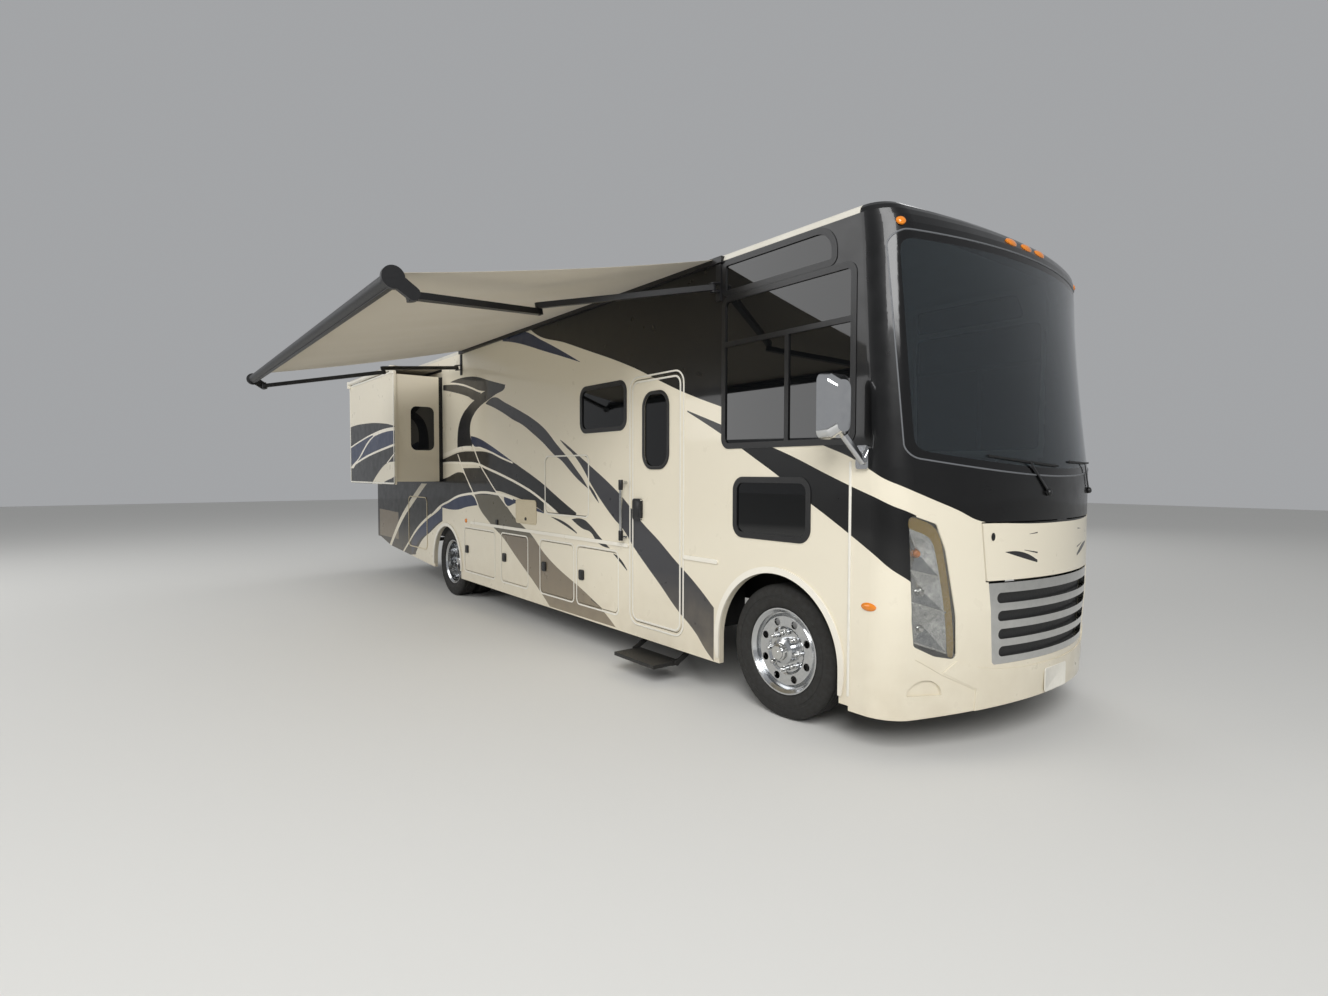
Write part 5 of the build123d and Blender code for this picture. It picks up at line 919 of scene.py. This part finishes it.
# %% Reflector cells
CELL_NEAR, CELL_DEPTH = 0.012, 0.042
for (low_out, low_in), (top_out, top_in) in zip(FIN_HEIGHTS, FIN_HEIGHTS[1:]):
    def facet(u, v):
        """Point in the cell between its two fins, deepest in the cell's middle."""
        z = (low_out + (low_in - low_out) * u) * (1 - v) + (top_out + (top_in - top_out) * u) * v
        rim = max(abs(2 * u - 1), abs(2 * v - 1))
        return in_lamp(u, z, CELL_GAPS, CELL_NEAR + CELL_DEPTH * (1 - rim))

    cell = start("plane", size=2)
    bpy.ops.mesh.select_all(action="SELECT")
    bpy.ops.mesh.poke()
    bpy.ops.mesh.subdivide(number_cuts=2)
    lay_out(cell, facet)
    bpy.ops.object.mode_set(mode="EDIT")
    bpy.ops.mesh.select_all(action="SELECT")
    bpy.ops.mesh.normals_make_consistent(inside=False)
    modify(cell, "SOLIDIFY", thickness=0.0015, offset=0)
    lamp_parts.append(hand_over(cell, "reflector_%d" % len(lamp_parts), "reflector_chrome", smooth=5))
print("reflector cells", len(lamp_parts))

# %% Bulbs and fins
BULB = [(-0.03, 0.0), (-0.028, 0.02), (-0.01, 0.024), (0.004, 0.022), (0.014, 0.014), (0.018, 0.0)]
for number, (y, z) in enumerate([(-1.085, 0.79), (-1.09, 1.01), (-1.115, 1.24)]):
    bulb = spun(BULB, on_nose("headlamps", y, z, 0.03), (1, -0.5, 0), 20)
    lamp_parts.append(hand_over(bulb, "bulb_%d" % number, "amber_lens" if number == 2 else "bright_trim"))
for number, (z_out, z_in) in enumerate(FIN_HEIGHTS):
    fin = sheet(8, 1, lambda u, v: in_lamp(u, z_out + (z_in - z_out) * u, FIN_GAPS, 0.011,
                                           0.005 * (2 * v - 1)))
    modify(fin, "SOLIDIFY", thickness=0.004, offset=0)
    lamp_parts.append(hand_over(fin, "fin_%d" % number, "bright_trim"))
print("cells, bulbs and fins", len(lamp_parts))

# %% Tan strip, and the inside of the left lamp


def along_strip(u, v):
    """Point in the tan strip, between the two lines that give its edges."""
    step = round(u * 6)
    (y0, z0), (y1, z1) = STRIP_OUT[step], STRIP_IN[step]
    return on_nose("headlamps", -(y0 + (y1 - y0) * v), z0 + (z1 - z0) * v, 0.008)


strip = sheet(6, 3, along_strip)
modify(strip, "SUBSURF", levels=2, render_levels=2)
modify(strip, "SOLIDIFY", thickness=0.002, offset=0)
lamp_parts.append(hand_over(strip, "strip", "lamp_tan"))
for part in lamp_parts:
    part.name = "headlamp_" + part.name + "_right"
    copy_of(part, part.name.replace("right", "left"), mirror=True)
print("pieces in each lamp", len(lamp_parts))

# %% Lens and housing


def over_lamp(u, v):
    """Point on the lens: the lamp's whole front, with a foot that rises towards its outer corner."""
    z = 0.606 + 0.026 * (1 - u) + v * (0.84 - 0.006 * (1 - u))
    return in_lamp(u, z, LENS_GAPS, 0.0)


lens = sheet(12, 36, over_lamp)
modify(lens, "SOLIDIFY", thickness=0.003, offset=0)
hand_over(lens, "headlamp_lens_right", "lamp_lens")
housing = part_of("headlamps", lambda middle, normal: normal.x <= 0.1)
modify(housing, "SOLIDIFY", thickness=0.0015, offset=-1)
hand_over(housing, "headlamp_housings", "lamp_inner")
other_lens = copy_of(lens, "headlamp_lens_left", mirror=True)
for piece in (lens, other_lens, housing):
    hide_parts("headlamps")
print("lens faces", len(lens.data.polygons), "housing faces", len(housing.data.polygons))

# %% [markdown]
# ## Windshield bead
# A grey rubber bead runs round the windshield. It is the edge loop of the glass's front skin, turned to
# a curve with a round section, because a bead follows the glass exactly.

# %% Windshield bead
bead = part_of("windshield_glass", lambda middle, normal: normal.x > 0.1)
bpy.ops.mesh.select_mode(type="FACE")
bpy.ops.mesh.select_all(action="SELECT")
bpy.ops.mesh.region_to_loop()
bpy.ops.mesh.select_all(action="INVERT")
bpy.ops.mesh.delete(type="EDGE")
bpy.ops.object.mode_set(mode="OBJECT")
bpy.ops.object.convert(target="CURVE")
bead.data.bevel_depth = 0.006
bead.data.bevel_resolution = 2
bpy.ops.object.convert(target="MESH")
hand_over(bpy.context.object, "windshield_bead", "window_bead", smooth=60)
print("bead faces", len(bpy.context.object.data.polygons))

# %% [markdown]
# ## Wipers
# Two wipers are parked low on the glass, both pointing to the curb side. The blade is a thin strip laid on
# the glass by rays, the arm is a block that tapers from its pivot to the blade's middle, and the pivot is
# a small turned knob.

# %% Wipers
KNOB = [(-0.012, 0.0), (-0.012, 0.022), (0.006, 0.022), (0.014, 0.016), (0.016, 0.0)]
for name, pivot, tip, heel in (("right", -0.2, -0.72, -0.08), ("left", 0.62, 0.1, 0.74)):
    def along_blade(u, v):
        """Point over the glass, on the shallow arc of its foot."""
        y = tip + (heel - tip) * u
        z = 1.765 + 0.055 * y * y + 0.03 * (1 - u) + 0.006 * (2 * v - 1)
        return on_nose("windshield_glass", y, z, -0.008)

    blade = sheet(24, 1, along_blade)
    modify(blade, "SOLIDIFY", thickness=0.01, offset=0)
    hand_over(blade, "wiper_blade_" + name, "seal_rubber")
    middle_y = (tip + heel) / 2
    foot = on_nose("front_cap", pivot, 1.6, -0.012)
    head = on_nose("windshield_glass", middle_y, 1.78 + 0.055 * middle_y ** 2, -0.02)
    arm = bar(foot, head, 0.022, 0.008, (1, 0, 0.2))
    choose(arm, "FACE", lambda middle, normal: (middle - head).length < 0.01)
    bpy.ops.transform.resize(value=(0.6, 0.6, 0.6), center_override=head)
    soften(arm, 0.0025)
    hand_over(arm, "wiper_arm_" + name, "black_frame")
    hand_over(spun(KNOB, foot, (1, 0, 0.2), 20), "wiper_pivot_" + name, "black_frame")
print("wipers 2")

# %% [markdown]
# ## Grille backing
# Behind a grille sits a dark radiator, so the slots look black. A thin sheet 40 mm behind the bars has the
# same effect and hides what is under the nose.

# %% Grille backing


def behind_grille(u, v):
    """Point behind the grille, straight up from its lower edge to its upper edge."""
    y = 0.63 * (2 * u - 1)
    return on_nose("front_grille", y, 0.565, 0.04).lerp(on_nose("front_grille", y, 1.048, 0.04), v)


backing = sheet(24, 2, behind_grille)
modify(backing, "SOLIDIFY", thickness=0.003, offset=0)
hand_over(backing, "grille_backing", "bay_liner")
print("backing faces", len(backing.data.polygons))

# %% [markdown]
# ## Small lamps
# Amber clearance lamps sit along the top of the nose and on the front corners, and round markers sit by
# the rear wheels. Each is a low dome turned about its own axis; the oval ones are stretched after turning.

# %% Small lamps
DOME = [(-0.004, 0.0), (-0.004, 0.03), (0.004, 0.03), (0.011, 0.024), (0.016, 0.013), (0.0175, 0.0)]
SMALL_LAMPS = [
    # name, place, direction that it faces, stretch
    ("clearance_1", on_nose("front_cap", -1.18, 3.2), (0.75, -0.5, 0.5), (1, 1, 1)),
    ("clearance_2", on_nose("front_cap", -0.2, 3.226), (0.9, 0, 0.5), (1, 2.2, 1)),
    ("clearance_3", on_nose("front_cap", 0.0, 3.226), (0.9, 0, 0.5), (1, 2.2, 1)),
    ("side_marker_front", Vector((3.841, -HALF_W + 0.002, 0.911)), (0, -1, 0), (1.75, 1, 0.85)),
    ("side_marker_rear", Vector((-2.39, -HALF_W, 1.085)), (0, -1, 0), (1, 1, 1)),
]
for name, spot, out, stretch in SMALL_LAMPS:
    lamp = spun(DOME, spot, out, 24)
    lamp.data.transform(Matrix.Translation(spot) @ Matrix.Diagonal((*stretch, 1)) @ Matrix.Translation(-spot))
    hand_over(lamp, name, "amber_lens")
    if spot.y:
        copy_of(lamp, name + "_left", mirror=True)
print("small lamps", 2 * len(SMALL_LAMPS) - 1)

# %% [markdown]
# ## Latches
# Compartment doors and the entry door have black paddle latches: a bezel round a sunk cup with a lever in
# it. All are the same block with insets in other sizes, and the street side's are mirrored copies.

# %% Latches


def paddle(name, x, z, half_x, half_z, proud, body="coach"):
    """Black paddle latch: bevelled bezel, sunk cup and a raised lever."""
    middle_y = -HALF_W - proud / 2
    piece = start("cube", size=1, location=(x, middle_y, z), scale=(2 * half_x, proud, 2 * half_z))
    choose(piece, "EDGE", lambda middle, normal: abs(middle.y - middle_y) < 0.0005)
    bpy.ops.mesh.bevel(offset=half_x * 0.45, segments=4)
    choose(piece, "FACE", lambda middle, normal: middle.y < -HALF_W - proud + 0.0005)
    push_in(half_x * 0.22, (0, min(proud, 0.012) * 0.25, 0))
    bpy.ops.mesh.inset(thickness=half_x * 0.2)
    bpy.ops.mesh.extrude_region_move(TRANSFORM_OT_translate={"value": (0, -min(proud, 0.012) * 0.2, 0)})
    soften(piece, 0.001)
    return hand_over(piece, name, "black_frame", body)


latches = {name: paddle("latch_" + name, x, 0.715, 0.043, 0.05, 0.0155, "baggage_door_" + name)
           for name, x in (("rear", -2.355), ("1", -1.225), ("2", -0.245), ("3", 0.525))}
paddle("fill_latch", -1.43, 1.115, 0.028, 0.035, 0.01)
copy_of(latches["rear"], "latch_street_rear", "baggage_door_street_rear", mirror=True)
copy_of(latches["3"], "latch_street_front", "baggage_door_street_front", mirror=True)
paddle("entry_latch", 1.475, 1.4, 0.062, 0.093, 0.0255, "entry_door")
print("latches", len(latches) + 4)

# %% [markdown]
# ## Baggage door rims
# Each baggage door closes into a thin white rim that is riveted to the wall round the opening. The frame
# function makes it, 20 mm outside the leaf so that the door swings clear.

# %% Baggage door rims
RIM_LOW, RIM_TOP, RIM_GAP = 0.41, 1.01, 0.02
BAGS = [("rear", -2.44, -1.51, -1), ("1", -1.31, -0.64, -1), ("2", -0.33, 0.36, -1), ("3", 0.44, 1.15, -1),
        ("street_rear", -2.44, -1.51, 1), ("street_front", 0.44, 1.15, 1)]
for name, x0, x1, side in BAGS:
    frame_piece("rim_" + name, x0 - RIM_GAP, x1 + RIM_GAP, RIM_LOW, RIM_TOP, 0.06, 0.015, 0.003,
                side * (HALF_W + 0.0002), "coach", "white_trim")
print("door rims", len(BAGS))

# %% [markdown]
# ## Seam strips, handle ends, lock and mirror panes
# The joint between the nose and the wall is covered by a white half-round strip. The grab handle is held
# by black sleeves, the hatch on the nose has an oval lock, and each mirror head holds a flat glass over a
# small wide-angle one, which lie in the rear of the chromed shell.

# %% Seam strips, handle ends, lock and mirror panes
SEAM_X = 3.7
strip = bar((SEAM_X, -HALF_W - 0.002, 0.33), (SEAM_X, -HALF_W - 0.002, 1.79), 0.018, 0.01, (0, -1, 0))
soften(strip, 0.004, segments=3)
hand_over(strip, "seam_strip_right", "white_trim")
copy_of(strip, "seam_strip_left", mirror=True)
SLEEVE = [(-0.045, 0.0), (-0.045, 0.019), (-0.04, 0.021), (0.04, 0.021), (0.045, 0.019), (0.045, 0.0)]
for name, z in (("low", 1.16), ("high", 1.61)):
    hand_over(spun(SLEEVE, (1.29, -1.3445, z), (0, 0, 1), 20), "handle_end_" + name, "black_frame")
LOCK_Z = 1.335
lock = spun([(0.0, 0.0), (0.0, 0.016), (0.003, 0.016), (0.004, 0.012), (0.004, 0.0)],
            on_nose("hood_door", -0.68, LOCK_Z), (1, -0.2, 0), 20)
lock.data.transform(Matrix.Translation((0, 0, LOCK_Z)) @ Matrix.Scale(1.5, 4, (0, 0, 1))
                    @ Matrix.Translation((0, 0, -LOCK_Z)))
hand_over(lock, "hatch_lock", "black_frame", "hood_door")
for side, word in ((-1, "right"), (1, "left")):
    for z, half_z, name in ((2.165, 0.115, "flat"), (1.99, 0.05, "wide")):
        pane = start("cube", size=1, location=(3.6965, side * 1.5125, z), scale=(0.005, 0.17, 2 * half_z))
        choose(pane, "FACE", lambda middle, normal: normal.x < -0.9)
        push_in(0.006, (0.001, 0, 0))
        soften(pane, 0.001)
        hand_over(pane, "mirror_" + name + "_" + word, "chrome_mirror")
print("strips, ends, lock and mirror panes done")

# %% [markdown]
# ## Plates and roof louvres
# Blank licence plates with a pressed rim sit on the front bumper and on the rear wall, and each air
# conditioner on the roof has louvres in its rear end. A slat is modelled once and copied down the stack.

# %% Plates and louvres
front_x = on_nose("front_cap", 0, 0.385).x
for name, x, y, z, out in (("front_plate", front_x, 0, 0.385, 1), ("rear_plate", -6.48, -0.35, 1.02, -1)):
    middle_x = x + out * 0.004
    plate = start("cube", size=1, location=(middle_x, y, z), scale=(0.006, 0.305, 0.154))
    choose(plate, "EDGE", lambda middle, normal: abs(middle.x - middle_x) < 0.0001)
    bpy.ops.mesh.bevel(offset=0.014, segments=4)
    choose(plate, "FACE", lambda middle, normal: normal.x * out > 0.9)
    bpy.ops.mesh.inset(thickness=0.006)
    push_in(0.003, (-out * 0.0012, 0, 0))
    soften(plate, 0.0006)
    hand_over(plate, name, "white_trim")
slat = bar((-4.128, -0.25, 3.42), (-4.128, 0.25, 3.42), 0.014, 0.008, (-1, 0, 0))
soften(slat, 0.002)
hand_over(slat, "louvre_rear_0", "black_frame")
for x, word in ((0.0, "rear"), (4.5, "front")):
    for i in range(5):
        if x or i:
            copy_of(slat, "louvre_%s_%d" % (word, i), move=(x, 0, 0.032 * i))
print("plates 2, louvres 10")

# %% [markdown]
# ## Seats
# Two armchairs stand behind the windshield. Each has a square cushion and a tall back, both crowned, with
# a sewn panel in the middle. A box is bevelled and its faces are inset and pushed in for the seam, the
# panel is lifted again, and subdivision rounds it all. A cloth simulation would do the same for pads that
# are seen from near; behind tinted glass, pushing the faces by hand gives what shows.

# %% Seats


def pad(name, centre, size, tilt, face):
    """Crowned cushion with a sewn panel on the side that it shows. face is the panel's outward direction."""
    piece = start("cube", size=1, scale=size)
    face = Vector(face)
    bpy.ops.mesh.select_all(action="SELECT")
    bpy.ops.mesh.bevel(offset=min(size) * 0.28, segments=2)
    choose(piece, "FACE", lambda middle, normal: normal.dot(face) > 0.9)
    bpy.ops.mesh.inset(thickness=min(size) * 0.35)
    push_in(0.008, -face * 0.014)
    push_in(0.012, face * 0.02)
    push_in(min(size) * 0.5, face * 0.008)
    modify(piece, "SUBSURF", levels=3, render_levels=3)
    piece.data.transform(Matrix.Translation(centre) @ Matrix.Rotation(math.radians(tilt), 4, "Y"))
    hand_over(piece, name, "seat_leather", smooth=60)
    return piece


for y, word in ((-0.62, "right"), (0.62, "left")):
    cushion = pad("seat_cushion_" + word, (2.93, y, 1.47), (0.5, 0.52, 0.13), 0, (0, 0, 1))
    back = pad("seat_back_" + word, (2.64, y, 1.9), (0.12, 0.5, 0.76), -8, (1, 0, 0))
    base = start("cylinder", vertices=32, radius=0.16, depth=0.3, location=(2.9, y, 1.243))
    choose(base, "FACE", lambda middle, normal: abs(normal.z) < 0.5)
    bpy.ops.transform.resize(value=(1, 1, 0.97))
    bpy.ops.mesh.bevel(offset=0.01, segments=2)
    hand_over(base, "seat_base_" + word, "dash_plastic")
    for piece in (cushion, back, base):
        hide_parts("cab_seats")
print("seat pieces 6")

# %% [markdown]
# ## Floor and light
# A wide pale floor takes the coach's shadow. Daylight from a bright sky is one large soft key from the
# nose's side, a fill that reaches under the awning, a weak light from behind, and an even grey-white sky.
# They are low enough for the cream gelcoat to keep its colour where the key strikes it squarely.

# %% Floor and light
bpy.ops.object.select_all(action="DESELECT")
bpy.ops.mesh.primitive_plane_add(size=80, location=(0, 0, 0))
floor = bpy.context.object
floor.name = "floor"
floor.data.materials.append(new_material("pale floor", {"Base Color": linear("D9D8D4"), "Roughness": 0.8})[0])

LIGHTS = [
    # name, place, aim, size, watts
    ("key", (11, -9, 9), (1, 0, 1.5), 7, 1500),
    ("fill", (-7, -13, 7), (-2, 0, 1.5), 9, 650),
    ("back", (-8, 12, 9), (0, 0, 1.5), 9, 450),
]
for name, spot, aim, size, power in LIGHTS:
    bpy.ops.object.light_add(type="AREA", location=spot)
    lamp = bpy.context.object
    lamp.name = name
    lamp.data.size = size
    lamp.data.energy = power
    lamp.rotation_euler = (Vector(aim) - Vector(spot)).to_track_quat("-Z", "Y").to_euler()
world = bpy.data.worlds.new("studio")
bpy.context.scene.world = world
world.use_nodes = True
fill(world.node_tree.nodes["Background"], {"Color": linear("F0F2F5"), "Strength": 0.42})
bpy.context.scene.view_settings.view_transform = "Standard"
print("lights", len(LIGHTS))
